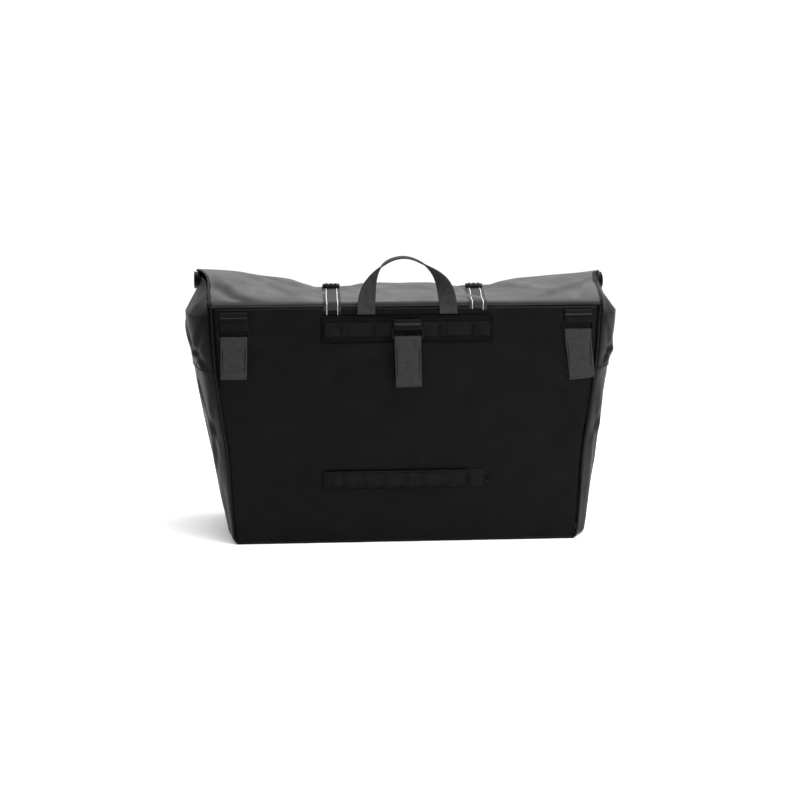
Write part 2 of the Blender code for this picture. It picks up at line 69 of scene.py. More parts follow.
PANEL_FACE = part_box("back_panel")[0].y
FRONT_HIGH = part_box("front_panel")[1]
FRONT_FACE, TOP_FRONT = FRONT_HIGH.y, FRONT_HIGH.z
BACK_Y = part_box("back_edge_seam")[0].y
FRONT_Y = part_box("front_edge_seam")[1].y
CROSS_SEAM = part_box("gusset_left_upper")[0].z
SEAM_LOW, SEAM_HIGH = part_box("top_seam")
ROLL_LOW, ROLL_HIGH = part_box("roll_bundle")
CLOSURE_LOW, CLOSURE_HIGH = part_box("closure_strap_right")
PATCH_LOW, PATCH_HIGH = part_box("hardware_patch")
LOOPS_LOW, LOOPS_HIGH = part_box("accessory_loop_webbing")
STRAP_LOW, STRAP_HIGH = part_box("lower_strap_base")
TAIL_LOW, TAIL_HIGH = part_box("lower_strap_tail")
SEAM_REACH = 0.0014  # how far the top seam's roll stands past the seam itself
TOP_BACK = SEAM_HIGH.z - SEAM_REACH
HINGE_Y = SEAM_LOW.y + SEAM_REACH
ROLL_Y = (ROLL_LOW.y + ROLL_HIGH.y) / 2
CLOSURE_X = (CLOSURE_LOW.x + CLOSURE_HIGH.x) / 2

# ---------- shapes of the soft walls ----------

# half widths at heights
PANEL_HALF = ((0.0, 0.244), (0.05, 0.248), (0.13, 0.2525), (0.2, 0.262), (0.25, 0.2676), (0.336, 0.273))
SIDE_HALF = ((0.0, 0.2586), (0.014, 0.2615), (0.034, 0.2652), (0.048, 0.2681), (0.105, 0.2787),
             (0.147, 0.2857), (0.2, 0.2944), (0.238, 0.3003), (0.26, 0.3043), (0.28, 0.3083),
             (0.3, 0.3112), (0.3215, 0.3127), (0.336, 0.3127))
LEAN = {-1: (0.0035, 0.0035), 1: (0.0080, 0.0105)}  # a wall's shift towards +X at its foot, and back above
CORNER = 0.009  # radius of the lower corners
WALL_INSET = 0.0024  # from the bag's back and front faces to the side walls' edges
SPLIT = TOP_FRONT + 0.0035  # where the walls start to follow the lifted top
JOINED = SPLIT + 0.0165  # where they follow it wholly
KNEE = TOP_BACK + 0.0066  # top of the collar's short rise from the back seam
COLLAR_HALF = 0.284
COLLAR_END_Y = 0.022
COLLAR_POINTS = 84
FRONT_EDGE = (0.0968, 0.3215)  # (y, z) of the collar's front fold

# height of the rolled top over its middle, at distances from the middle
RIDGE_MIDDLE = 0.351
RIDGE_RISE = {
    -1: ((0, 0), (0.086, 0.0030), (0.118, 0.0030), (0.15, 0.0085), (0.19, 0.0125), (0.23, 0.0195),
         (0.26, 0.0222), (0.296, 0.0240)),
    1: ((0, 0), (0.086, 0.0020), (0.118, 0.0020), (0.15, 0.0046), (0.19, 0.0075), (0.23, 0.0110),
        (0.26, 0.0138), (0.296, 0.0190)),
}
RIDGE_DIP = 0.007  # where the closure straps pull it down
DIP_FLAT = 0.016
ROLL_A = 0.0215  # half depth and half height of the roll
ROLL_B = 0.0138

WEB = 0.025
WIDE_WEB = 0.038
WEB_THICK = 0.0015
HEM = 0.0078  # the turned-over top of each rack anchor
EYE = 0.0026  # from the middle of a ring's wire to the middle of the webbing round it
LOOP_PITCH = 0.046
# how far each closure strap lies to one side, at its foot and at the roll
STRAP_DRIFT = {"left": (-0.0022, 0.0012), "right": (-0.0030, 0.0055)}

# creases: two ends, depth and width
PANEL_CREASES = (
    ((-0.235, 0.295), (-0.130, 0.235), 0.0007, 0.010),
    ((-0.070, 0.262), (0.020, 0.285), 0.0006, 0.012),
    ((0.100, 0.285), (0.235, 0.215), 0.0009, 0.013),
    ((0.060, 0.250), (0.170, 0.110), 0.0008, 0.014),
    ((0.235, 0.180), (0.120, 0.060), 0.0008, 0.016),
    ((-0.215, 0.090), (-0.120, 0.020), 0.0008, 0.014),
    ((-0.020, 0.075), (-0.060, 0.012), 0.0008, 0.011),
)
WALL_CREASES = (
    ((0.020, 0.312), (-0.088, CROSS_SEAM + 0.008), 0.0026, 0.006),
    ((-0.090, 0.305), (-0.052, CROSS_SEAM + 0.012), 0.0022, 0.006),
    ((-0.092, 0.200), (-0.060, 0.110), 0.0020, 0.008),
    ((-0.030, 0.215), (-0.088, 0.150), 0.0016, 0.007),
)
COLLAR_CREASES = (
    ((-0.276, -0.004), (-0.266, -0.050), 0.0030, 0.008),
    ((-0.266, -0.050), (-0.240, -0.088), 0.0026, 0.009),
    ((-0.225, 0.010), (-0.180, -0.050), 0.0020, 0.009),
    ((-0.190, 0.015), (-0.140, -0.020), 0.0018, 0.008),
    ((-0.060, 0.010), (-0.030, -0.060), 0.0014, 0.010),
    ((0.030, -0.010), (0.080, -0.070), 0.0018, 0.009),
    ((0.135, 0.010), (0.185, -0.050), 0.0022, 0.009),
    ((0.215, -0.070), (0.262, -0.030), 0.0026, 0.008),
    ((0.265, 0.010), (0.245, -0.060), 0.0020, 0.007),
)


# ---------- rules ----------

def steps(low, high, count):
    return [low + (high - low) * i / count for i in range(count + 1)]


def smooth(t):
    t = min(1.0, max(0.0, t))
    return t * t * (3 - 2 * t)


def bell(distance, width):
    return math.exp(-((distance / width) ** 2))


def rough(x, y, z=0.0):
    """Soft noise between about -0.7 and 0.7."""
    return noise.noise(Vector((x, y, z)))


def along(table, at):
    """A table of (place, value) pairs read as a smooth curve."""
    if at <= table[0][0]:
        return table[0][1]
    if at >= table[-1][0]:
        return table[-1][1]
    slopes = [(b[1] - a[1]) / (b[0] - a[0]) for a, b in zip(table, table[1:])]
    i = max(k for k, (place, _) in enumerate(table[:-1]) if place <= at)
    (start, low), (end, high) = table[i:i + 2]
    span = end - start
    t = (at - start) / span
    low_slope = (slopes[max(i - 1, 0)] + slopes[i]) / 2 * span
    high_slope = (slopes[min(i + 1, len(slopes) - 1)] + slopes[i]) / 2 * span
    return ((2 * t ** 3 - 3 * t ** 2 + 1) * low + (t ** 3 - 2 * t ** 2 + t) * low_slope
            + (3 * t ** 2 - 2 * t ** 3) * high + (t ** 3 - t ** 2) * high_slope)


def smooth_line(points, count):
    """Evenly numbered (y, z) places on a smooth line through the given ones."""
    points = [Vector(p) for p in points]
    padded = [2 * points[0] - points[1]] + points + [2 * points[-1] - points[-2]]
    spans = len(points) - 1
    result = []
    for k in range(count + 1):
        at = min(k / count * spans, spans - 1e-9)
        i = int(at)
        t = at - i
        a, b, c, d = padded[i:i + 4]
        result.append(0.5 * (2 * b + (c - a) * t + (2 * a - 5 * b + 4 * c - d) * t * t
                             + (3 * b - a - 3 * c + d) * t ** 3))
    return [tuple(p) for p in result]


def corner_half(z, inset):
    """Half width of a panel with round lower corners, at one height."""
    radius = CORNER - inset
    if z >= CORNER:
        return along(PANEL_HALF, z) - inset
    drop = min(radius, CORNER - z)
    return PANEL_HALF[0][1] - CORNER + math.sqrt(max(0.0, radius ** 2 - drop ** 2))


def belly(y):
    t = (y - BACK_Y) / (FRONT_Y - BACK_Y)
    return 1 - abs(2 * t - 1) ** 2.5


def side_x(y, z):
    panel = along(PANEL_HALF, max(z, CORNER))
    half = panel + (along(SIDE_HALF, max(z, CORNER)) - panel) * belly(y)
    drop = max(0.0, CORNER - z)
    return half - CORNER + math.sqrt(max(0.0, CORNER ** 2 - drop ** 2))


def crease(p, a, b, width):
    """A fold along a line in a plane: a valley with a softer ridge on one side of it."""
    run = (b[0] - a[0], b[1] - a[1])
    away = (p[0] - a[0], p[1] - a[1])
    length = math.hypot(*run)
    t = (away[0] * run[0] + away[1] * run[1]) / length ** 2
    side = (run[0] * away[1] - run[1] * away[0]) / length
    beyond = max(0.0, -t, t - 1) * length
    return (bell(side - width * 1.6, width * 1.4) * 0.8 - bell(side, width)) * bell(beyond, width * 3)


def all_creases(table, *p):
    return sum(depth * crease(p, a, b, width) for a, b, depth, width in table)


def wall_fold(side, y, z):
    """How far a side wall's cloth stands out of its smooth shape."""
    give = smooth((y - BACK_Y - 0.004) / 0.03) * smooth((FRONT_Y - 0.004 - y) / 0.03)
    rise = smooth((z - 0.015) / 0.06)
    waves = 0.0010 * math.sin(2 * math.pi * (y * 11 + 0.30 * math.sin(z * 13 + side)) + side)
    waves += 0.0024 * rough(y * 13 + side * 7, z * 4.0, side) + 0.0005 * rough(y * 40, z * 18, side * 4)
    lap = 0.0008 * smooth((z - CROSS_SEAM) / 0.0016)
    pucker = 0.0005 * math.sin(y * 420) * bell(z - CROSS_SEAM, 0.006)
    foot, back = LEAN[side]
    lean = side * (foot - back * smooth(z / 0.30))
    return lap + give * (rise * (waves + all_creases(WALL_CREASES, y, z)) - 0.0010 + pucker + lean)


def wall_x(side, y, z, folded_at=None):
    """Half width of a side wall's cloth, with its folds."""
    return side_x(y, z) + wall_fold(side, y, z if folded_at is None else folded_at) - 0.0006


def ridge(x):
    off = max(0.0, abs(abs(x) - CLOSURE_X) - DIP_FLAT)
    return RIDGE_MIDDLE + along(RIDGE_RISE[-1 if x < 0 else 1], abs(x)) - RIDGE_DIP * bell(off, 0.030)


def collar_half(y):
    return along(((PANEL_FACE, 0.2725), (COLLAR_END_Y, COLLAR_HALF), (ROLL_Y - 0.004, 0.2945)), y)


def roll_centre(x):
    return ridge(x) - ROLL_B


# ---------- materials ----------

class Shader:
    """A node tree with its Principled shader, and short ways to add to it."""

    def __init__(self, name, colour, roughness, specular):
        self.material = bpy.data.materials.new(name)
        self.material.use_nodes = True
        self.tree = self.material.node_tree
        self.shader = self.tree.nodes["Principled BSDF"]
        self.shader.inputs["Base Color"].default_value = (*colour, 1)
        self.shader.inputs["Roughness"].default_value = roughness
        self.shader.inputs["Specular IOR Level"].default_value = specular
        self.colour = colour
        self.height = None

    def node(self, kind, **settings):
        made = self.tree.nodes.new(kind)
        for key, value in settings.items():
            if key in made.inputs:
                made.inputs[key].default_value = value
            else:
                setattr(made, key, value)
        return made

    def link(self, start, end):
        self.tree.links.new(start, end)

    def place(self, source, made):
        self.link(self.node("ShaderNodeTexCoord").outputs[source], made.inputs["Vector"])
        return made.outputs["Fac"]

    def noise(self, scale, detail):
        return self.place("Object", self.node("ShaderNodeTexNoise", Scale=scale, Detail=detail))

    def wave(self, period, direction, source="UV"):
        """Bands that repeat at a period. At Scale 1 they are pi / 10 apart."""
        made = self.node("ShaderNodeTexWave", Scale=math.pi / 10 / period, bands_direction=direction)
        return self.place(source, made)

    def spread(self, value, low, high, start=0.3, end=0.7):
        made = self.node("ShaderNodeMapRange")
        for key, number in (("From Min", start), ("From Max", end), ("To Min", low), ("To Max", high)):
            made.inputs[key].default_value = number
        self.link(value, made.inputs["Value"])
        return made.outputs["Result"]

    def maths(self, operation, first, second):
        made = self.node("ShaderNodeMath", operation=operation)
        for socket, value in zip(made.inputs, (first, second)):
            if isinstance(value, (int, float)):
                socket.default_value = value
            else:
                self.link(value, socket)
        return made.outputs["Value"]

    def vary_colour(self, value, dark, light, start=0.3, end=0.7):
        ramp = self.node("ShaderNodeMix", data_type="RGBA")
        for socket, factor in ((ramp.inputs[6], dark), (ramp.inputs[7], light)):
            socket.default_value = (*[c * factor for c in self.colour], 1)
        self.link(self.spread(value, 0, 1, start, end), ramp.inputs[0])
        self.link(ramp.outputs[2], self.shader.inputs["Base Color"])

    def vary_roughness(self, value, low, high):
        self.link(self.spread(value, low, high), self.shader.inputs["Roughness"])

    def bump(self, value, depth, strength):
        made = self.node("ShaderNodeBump", Strength=strength, Distance=depth)
        self.link(value, made.inputs["Height"])
        if self.height is not None:
            self.link(self.height, made.inputs["Normal"])
        self.height = made.outputs["Normal"]
        self.link(self.height, self.shader.inputs["Normal"])


def coated_cloth(name, colour, roughness, specular):
    """Tightly woven cloth under a satin coating: fine threads, soft cockles, rubbed patches."""
    made = Shader(name, colour, roughness, specular)
    made.vary_colour(made.noise(38, 5), 0.80, 1.30)
    made.vary_roughness(made.noise(24, 4), roughness - 0.06, roughness + 0.08)
    threads = made.maths("MULTIPLY", made.wave(0.0011, "X", "Object"), made.wave(0.0011, "Z", "Object"))
    made.bump(threads, 0.00006, 0.5)
    made.bump(made.noise(900, 2), 0.00005, 0.6)
    made.bump(made.noise(26, 4), 0.0016, 0.5)
    return made.material


def webbing(name, colour, roughness=0.66, rib=0.0012, depth=0.00025, specular=0.22):
    """Woven nylon: ribs along its length crossed by a finer pick, with fuzzy sheen."""
    made = Shader(name, colour, roughness, specular)
    ribs = made.wave(rib, "Y")
    picks = made.wave(0.0016, "X")
    woven = made.maths("MULTIPLY", ribs, picks)
    made.vary_colour(made.maths("ADD", made.maths("MULTIPLY", woven, 0.6), made.noise(120, 3)),
                     0.65, 1.35, 0.35, 1.0)
    made.bump(woven, depth, 0.8)
    made.bump(made.noise(60, 3), 0.0005, 0.5)
    made.shader.inputs["Sheen Weight"].default_value = 0.02
    made.shader.inputs["Sheen Roughness"].default_value = 0.4
    return made.material


def grained(name, colour, roughness, specular, patches, shades, grain, bump, rubbed=None):
    """A plain stuff, darker and lighter in patches over a fine grain, and shinier where it is rubbed."""
    made = Shader(name, colour, roughness, specular)
    made.vary_colour(made.noise(*patches), *shades)
    made.bump(made.noise(*grain), *bump)
    if rubbed:
        made.vary_roughness(made.noise(rubbed[0], 4), *rubbed[1:])
    return made.material


# Three copies of one coated fabric. The copy for the top-lit collar, also used on the front patches, is
# lighter and glossier as painted light. The copies for the panels, base, side walls, collar ends and roll
# turns are darker as painted shade.
SHADED_CLOTH = coated_cloth("coated_fabric_painted_shade_look", (0.0026, 0.0026, 0.0027), 0.40, 0.06)
LIT_CLOTH = coated_cloth("coated_fabric_painted_lit_look", (0.0080, 0.0080, 0.0086), 0.42, 0.24)
SHADED_SIDE_CLOTH = coated_cloth("side_fabric_painted_shade_look", (0.0023, 0.0023, 0.0024), 0.42, 0.045)
EDGE = coated_cloth("seam_edge_look", (0.0024, 0.0024, 0.0025), 0.50, 0.08)
WEBBING = webbing("webbing_look", (0.0052, 0.0052, 0.0053), specular=0.06)
HANDLE_WEB = webbing("handle_webbing_look", (0.027, 0.027, 0.0275), roughness=0.8, specular=0.08)
# Two copies of the same wide rack webbing. The lighter copy goes on the tabs and on the anchors'
# turned-over hems: painted light on the tabs' faces and a painted highlight on the hems' top fold. The
# darker copy goes on the anchors' bodies as painted shade.
LIT_RACK_WEB = webbing("rack_webbing_painted_lit_look", (0.023, 0.023, 0.0235), rib=0.0015, depth=0.0004, specular=0.12)
SHADED_ANCHOR_WEB = webbing("anchor_webbing_painted_shade_look", (0.0045, 0.0045, 0.0046), rib=0.0015, specular=0.05)
STRAP_WEB = webbing("closure_webbing_look", (0.022, 0.022, 0.0224), specular=0.12)
DARK_WEB = webbing("patch_webbing_look", (0.0036, 0.0036, 0.0037), specular=0.05)
RIBBED_WEB = webbing("loop_webbing_look", (0.0040, 0.0040, 0.0041), rib=0.0026, depth=0.0010, specular=0.08)
# Near-black rim webbing: painted contact shadow round the patch and the lower strap's tail.
SHADOW_RIM_WEB = webbing("painted_shadow_rim_look", (0.0007, 0.0007, 0.0007), roughness=0.9, specular=0.02)
THREAD = grained("thread_look", (0.0008, 0.0008, 0.0008), 0.7, 0.08,
                 (500, 2), (0.8, 1.25), (1800, 2), (0.0001, 0.6))
TRACER = grained("reflective_yarn_look", (0.55, 0.55, 0.56), 0.45, 0.6,
                 (700, 3), (0.75, 1.15), (2200, 2), (0.0001, 0.6))
PLASTIC = grained("buckle_plastic_look", (0.0040, 0.0040, 0.0041), 0.42, 0.4,
                  (160, 4), (0.85, 1.25), (2600, 2), (0.00005, 0.6), (90, 0.37, 0.51))
WIRE = grained("ring_wire_look", (0.0014, 0.0014, 0.0015), 0.34, 0.12,
               (150, 3), (0.8, 1.4), (900, 3), (0.0001, 0.4), (260, 0.28, 0.44))
HOOK = grained("hook_and_loop_look", (0.010, 0.010, 0.010), 0.95, 0.1,
               (1400, 3), (0.5, 1.6), (1600, 3), (0.0008, 1.0))
BOARD = grained("board_plastic_look", (0.045, 0.045, 0.047), 0.6, 0.4,
                (60, 4), (0.85, 1.15), (360, 3), (0.0002, 0.5))
LINING = grained("lining_look", (0.09, 0.09, 0.095), 0.6, 0.4,
                 (300, 4), (0.85, 1.15), (1800, 3), (0.0002, 0.5))


# ---------- making pieces ----------

def place_object(name, mesh, finishes):
    made = bpy.data.objects.new(name, mesh)
    for finish in finishes:
        mesh.materials.append(finish)
    bpy.context.collection.objects.link(made)
    return made


def mesh_piece(name, points, faces, finish, uvs=None, smooth_shading=True):
    mesh = bpy.data.meshes.new(name)
    mesh.from_pydata(points, [], faces)
    if uvs is not None:
        layer = mesh.uv_layers.new(name="UVMap")
        for loop in mesh.loops:
            layer.data[loop.index].uv = uvs[loop.vertex_index]
    for polygon in mesh.polygons:
        polygon.use_smooth = smooth_shading
    mesh.update()
    return place_object(name, mesh, [finish])


def bake(piece):
    """Turns a piece's modifiers into its mesh."""
    bpy.context.view_layer.update()
    graph = bpy.context.evaluated_depsgraph_get()
    mesh = bpy.data.meshes.new_from_object(piece.evaluated_get(graph))
    piece.modifiers.clear()
    piece.data = mesh


def skin(name, rows, finish, thick=0.0, offset=-1.0):
    """A grid of points as cloth. Its UVs are metres, along the rows and across them."""
    wide = len(rows[0])
    middle = wide // 2
    uvs = []
    down = 0.0
    for i, row in enumerate(rows):
        if i:
            down += (Vector(row[middle]) - Vector(rows[i - 1][middle])).length
        run = 0.0
        for j, p in enumerate(row):
            if j:
                run += (Vector(p) - Vector(row[j - 1])).length
            uvs.append((down, run))
    faces = []
    for i in range(len(rows) - 1):
        for k in range(i * wide, (i + 1) * wide - 1):
            faces.append((k, k + 1, k + 1 + wide, k + wide))
    made = mesh_piece(name, [p for row in rows for p in row], faces, finish, uvs)
    if thick:
        solid = made.modifiers.new("thickness", "SOLIDIFY")
        solid.thickness = thick
        solid.offset = offset
        bake(made)
    return made


def web_section(width, thick=WEB_THICK, rim=0.15):
    """Cross-section of webbing: flat faces, round selvedges a little thicker than the middle."""
    half = width / 2
    r = thick / 2
    top = []
    for x in steps(-half + r, half - r, 24):
        top.append((x, r * (1.0 + rim * bell(half - abs(x) - 0.0012, 0.0009))))
    turn = steps(math.pi / 2, -math.pi / 2, 4)[1:-1]
    right = [(half - r + r * math.cos(a), r * math.sin(a)) for a in turn]
    bottom = [(x, -z) for x, z in reversed(top)]
    left = [(-x, -z) for x, z in right]
    return top + right + bottom + left


def sweep(name, path, section, finish, closed=False):
    """A section carried along (point, across, up) places, with its ends closed."""
    rows = []
    for point, across, up in path:
        rows.append([point + across * s + up * t for s, t in section])
    wide = len(section)
    points = [p for row in rows for p in row]
    uvs = []
    run = 0.0
    for i, (point, _, _) in enumerate(path):
        if i:
            run += (point - path[i - 1][0]).length
        uvs += [(run, s) for s, _ in section]
    faces = []
    count = len(path)
    for i in range(count if closed else count - 1):
        n = (i + 1) % count
        for j in range(wide):
            k = (j + 1) % wide
            faces.append((i * wide + j, n * wide + j, n * wide + k, i * wide + k))
    if not closed:
        faces.append(tuple(range(wide)))
        faces.append(tuple(reversed(range((count - 1) * wide, count * wide))))
    return mesh_piece(name, points, faces, finish, uvs)


def flat_path(profile, x):
    """Places along a (y, z) line at one x, with the strap's width along +X."""
    path = []
    for i, (y, z) in enumerate(profile):
        ahead = profile[min(i + 1, len(profile) - 1)]
        behind = profile[max(i - 1, 0)]
        run = Vector((0, ahead[0] - behind[0], ahead[1] - behind[1])).normalized()
        path.append((Vector((x, y, z)), X, X.cross(run)))
    return path


def tube(name, points, radius, finish, sides=10, closed=False, wobble=0.0):
    """A round roll of cloth or wire along a line."""
    points = [Vector(p) for p in points]
    path = []
    count = len(points)
    side = None
    for i, p in enumerate(points):
        ahead = points[(i + 1) % count] if closed else points[min(i + 1, count - 1)]
        behind = points[i - 1] if closed or i else points[0]
        run = (ahead - behind).normalized()
        if side is None:
            side = run.orthogonal().normalized()
        side = (side - run * side.dot(run)).normalized()
        grow = 1 + wobble * rough(p.x * 60, p.y * 60, p.z * 60)
        path.append((p, side * grow, run.cross(side) * grow))
    section = [(radius * math.cos(a), radius * math.sin(a)) for a in steps(0, -2 * math.pi, sides)[:-1]]
    return sweep(name, path, section, finish, closed)


def rounded_box(name, low, high, finish, radius=0.001, rings=3):
    shape = bmesh.new()
    bmesh.ops.create_cube(shape, size=1)
    for vert in shape.verts:
        vert.co = [lo + (hi - lo) * (c + 0.5) for c, lo, hi in zip(vert.co, low, high)]
    bmesh.ops.bevel(shape, geom=list(shape.edges), offset=radius, segments=rings,
                    affect="EDGES", profile=0.5)
    mesh = bpy.data.meshes.new(name)
    shape.to_mesh(mesh)
    shape.free()
    for polygon in mesh.polygons:
        polygon.use_smooth = True
    return place_object(name, mesh, [finish])


def carve(target, cutters):
    """Cuts pieces out of a target and rounds what stays crisp."""
    for cutter in cutters:
        change = target.modifiers.new("carve", "BOOLEAN")
        change.operation = "DIFFERENCE"
        change.object = cutter
    bake(target)
    for cutter in cutters:
        bpy.data.objects.remove(cutter, do_unlink=True)
    target.data.set_sharp_from_angle(angle=math.radians(35))


def fuse(name, pieces):
    """Joins pieces into one object that keeps each piece's material."""
    shape = bmesh.new()
    finishes = []
    for piece in pieces:
        finish = piece.data.materials[0]
        if finish not in finishes:
            finishes.append(finish)
        before = len(shape.faces)
        shape.from_mesh(piece.data)
        shape.faces.ensure_lookup_table()
        for face in shape.faces[before:]:
            face.material_index = finishes.index(finish)
    mesh = bpy.data.meshes.new(name)
    shape.to_mesh(mesh)
    shape.free()
    for piece in pieces:
        bpy.data.objects.remove(piece, do_unlink=True)
    return place_object(name, mesh, finishes)


def stitches(name, runs, gap=0.0009, width=0.0006, height=0.0003):
    """Rows of thread. Each run is (start, end, up): straight, with the thread standing along up."""
    length = 0.0024
    outline = ((-0.5, 0, 0), (-0.3, -0.5, 0), (-0.3, 0.5, 0), (-0.25, 0, 1),
               (0.25, 0, 1), (0.3, -0.5, 0), (0.3, 0.5, 0), (0.5, 0, 0))
    sides = ((0, 1, 3), (0, 3, 2), (1, 5, 4, 3), (2, 3, 4, 6), (7, 4, 5), (7, 6, 4), (0, 2, 6, 7, 5, 1))
    points, faces = [], []
    for start, end, up in runs:
        start, end, up = Vector(start), Vector(end), Vector(up).normalized()
        run = end - start
        count = max(1, int(run.length / (length + gap)))
        run.normalize()
        across = run.cross(up)
        for i in range(count):
            at = start + run * (i * (length + gap) + length / 2)
            base = len(points)
            for ahead, aside, lift in outline:
                shift = run * (ahead * length) + across * (aside * width)
                points.append(at + shift + up * (lift * height))
            faces += [[base + k for k in side] for side in sides]
    return mesh_piece(name, points, faces, THREAD)


def box_runs(left, right, low, high, face, up=-Y, crossed=False):
    """Stitch runs along the sides of an upright rectangle, and across it if it is crossed."""
    a, b, c, d = (left, face, low), (right, face, low), (right, face, high), (left, face, high)
    pairs = [(a, b), (d, c), (a, d), (b, c)] + ([(a, c), (d, b)] if crossed else [])
    return [(start, end, up) for start, end in pairs]


def shadow_border(name, low_x, high_x, low_z, high_z, y):
    """The raised selvedge round a flat piece of webbing, coloured near black as painted contact shadow
    round its edge.
    """
    corners = ((low_x, low_z), (high_x, low_z), (high_x, high_z), (low_x, high_z))
    points = []
    for (x0, z0), (x1, z1) in zip(corners, corners[1:] + corners[:1]):
        points += [(x0 + (x1 - x0) * t, y, z0 + (z1 - z0) * t) for t in steps(0.02, 0.98, 12)]
    return tube(name, points, 0.0007, SHADOW_RIM_WEB, sides=8, closed=True)


def put(piece, body, slot, *nodes):
    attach(piece, body)
    if nodes:
        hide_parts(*nodes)


def sew(piece, *nodes):
    """Webbing or thread that stays on the bag."""
    put(piece, "bag_body", "webbing", *nodes)


def put_blended(piece, slot, start, end, *nodes):
    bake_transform(piece)
    if nodes:
        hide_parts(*nodes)


def pivot(body):
    return next(joint["pos_m"] for joint in frame["joints"] if joint["child"] == body)


# ---------- the bag's walls ----------

def panel_relief(x, z):
    """Slow cockles and faint drag lines in a flat cloth panel, held flat round the lower strap."""
    relief = 0.0016 * rough(x * 7.0 + 3, z * 8.0) + 0.0005 * rough(x * 24, z * 20, 2.0)
    middle = (STRAP_LOW.z + STRAP_HIGH.z) / 2
    held = bell(max(0.0, abs(x) - STRAP_HIGH.x), 0.020) * bell(z - middle, 0.022)
    return (relief + all_creases(PANEL_CREASES, x, z)) * (1 - 0.9 * held)


def make_panel(side, face_y, out, top):
    rows = []
    inset = 0.0042
    foot = inset * 0.6
    for v in steps(0, 1, 90):
        z = foot + (top - foot) * v ** 1.15
        half = corner_half(z, inset)
        row = []
        for u in steps(-1, 1, 150):
            x = u * half
            edge = min(half - abs(x), z) if z < top - 0.01 else half - abs(x)
            tuck = -0.0010 * bell(edge, 0.0035)
            y = face_y + out * (panel_relief(x * (1 if out < 0 else -1), z) + 0.0004 + tuck)
            row.append((x, y, z))
        rows.append(row if out > 0 else row[::-1])
    cloth = skin(f"{side}_panel_cloth", rows, SHADED_CLOTH, 0.0014)
    put(cloth, "bag_body", "coated_fabric", f"{side}_panel")


def make_edge_rolls(side, y, out, top):
    """Two rolled edges with the seam's groove between them, down one side, under and up the other."""
    rolls = []
    for k, (inset, depth, radius) in enumerate(((0.0046, 0.0012, 0.0017), (0.0010, 0.0024, 0.0019))):
        right = []
        for a in steps(0, math.pi / 2, 8):
            r = CORNER - inset
            right.append((PANEL_HALF[0][1] - CORNER + r * math.sin(a), CORNER - r * math.cos(a)))
        for z in steps(CORNER, top, 60)[1:]:
            right.append((along(PANEL_HALF, z) - inset + 0.0004 * rough(z * 30, k), z))
        bottom = [(x, inset) for x in steps(-right[0][0], right[0][0], 40)[1:-1]]
        left = [(-x, z) for x, z in reversed(right)]
        line = [(x, y - out * depth, max(z, radius)) for x, z in left + bottom + right]
        rolls.append(tube(f"{side}_roll_{k}", line, radius, EDGE, wobble=0.12))
    put(fuse(f"{side}_edge_rolls", rolls), "bag_body", "seam_edge", f"{side}_edge_seam")


def make_side_walls():
    for name, side in SIDES.items():
        rows = []
        for z in steps(0, SPLIT, 110):
            row = []
            for y in steps(BACK_Y + WALL_INSET, FRONT_Y - WALL_INSET, 70):
                row.append((side * wall_x(side, y, z), y, max(z, 0.0004)))
            rows.append(row if side > 0 else row[::-1])
        wall = skin(f"gusset_{name}_cloth", rows, SHADED_SIDE_CLOTH, 0.0014)
        put(wall, "bag_body", "coated_fabric", f"gusset_{name}_lower", f"gusset_{name}_upper")
        line = []
        for y in steps(BACK_Y + 0.005, FRONT_Y - 0.005, 60):
            line.append((side * wall_x(side, y, CROSS_SEAM, CROSS_SEAM + 0.001), y, CROSS_SEAM))
        put(tube(f"cross_seam_{name}", line, 0.0009, EDGE, sides=8), "bag_body", "seam_edge")


def make_base():
    rows = []
    for y in steps(BACK_Y + 0.004, FRONT_Y - 0.004, 24):
        half = side_x(y, 0.0)
        row = []
        for x in steps(-half, half, 60):
            row.append((x, y, 0.0002 + 0.0005 * abs(rough(x * 14, y * 14))))
        rows.append(row)
    base = skin("base_cloth", rows, SHADED_CLOTH, 0.0016, offset=1.0)
    put(base, "bag_body", "coated_fabric", "base_panel")


# ---------- the rolled top ----------

def collar_relief(x, y):
    """Dents and drag lines in the top cloth, stronger near the straps and the ends."""
    share = (y - PANEL_FACE) / (COLLAR_END_Y - PANEL_FACE)
    relief = 0.0017 * rough(x * 8 + 5, y * 15) + 0.0004 * rough(x * 30, y * 40, 3)
    for strap in (-CLOSURE_X, CLOSURE_X):
        near = bell(x - strap, 0.050)
        relief += 0.0011 * near * math.sin((x - strap) * 240 + y * 60) * smooth(share)
    ends = smooth((abs(x) - 0.17) / 0.10)
    relief += 0.0012 * ends * rough(x * 22 + y * 18, y * 9, 7)
    relief += all_creases(COLLAR_CREASES, x, y)
    return relief * smooth(share / 0.12)


def roll_place(x, angle, out_y, out_z):
    """(y, z) on an oval round the roll's outside, standing a little off it."""
    y = ROLL_Y + (ROLL_A + out_y) * math.cos(angle)
    return y, roll_centre(x) + (ROLL_B + out_z) * math.sin(angle)


def collar_line(x):
    """Smooth (y, z) line from the back seam over the slope and round the outside of the roll."""
    top = ridge(x)
    line = [(PANEL_FACE + 0.0002, TOP_BACK + 0.0008), (PANEL_FACE + 0.0016, TOP_BACK + 0.0060)]
    slope = ((-0.080, 0.25), (-0.040, 0.60), (-0.008, 0.84))
    line += [(y, KNEE + share * (top - KNEE)) for y, share in slope]
    line.append((COLLAR_END_Y, top - 0.0006))
    line += [roll_place(x, a, 0.0006, 0.0006) for a in steps(math.radians(96), math.radians(-100), 7)]
    return smooth_line(line, COLLAR_POINTS)


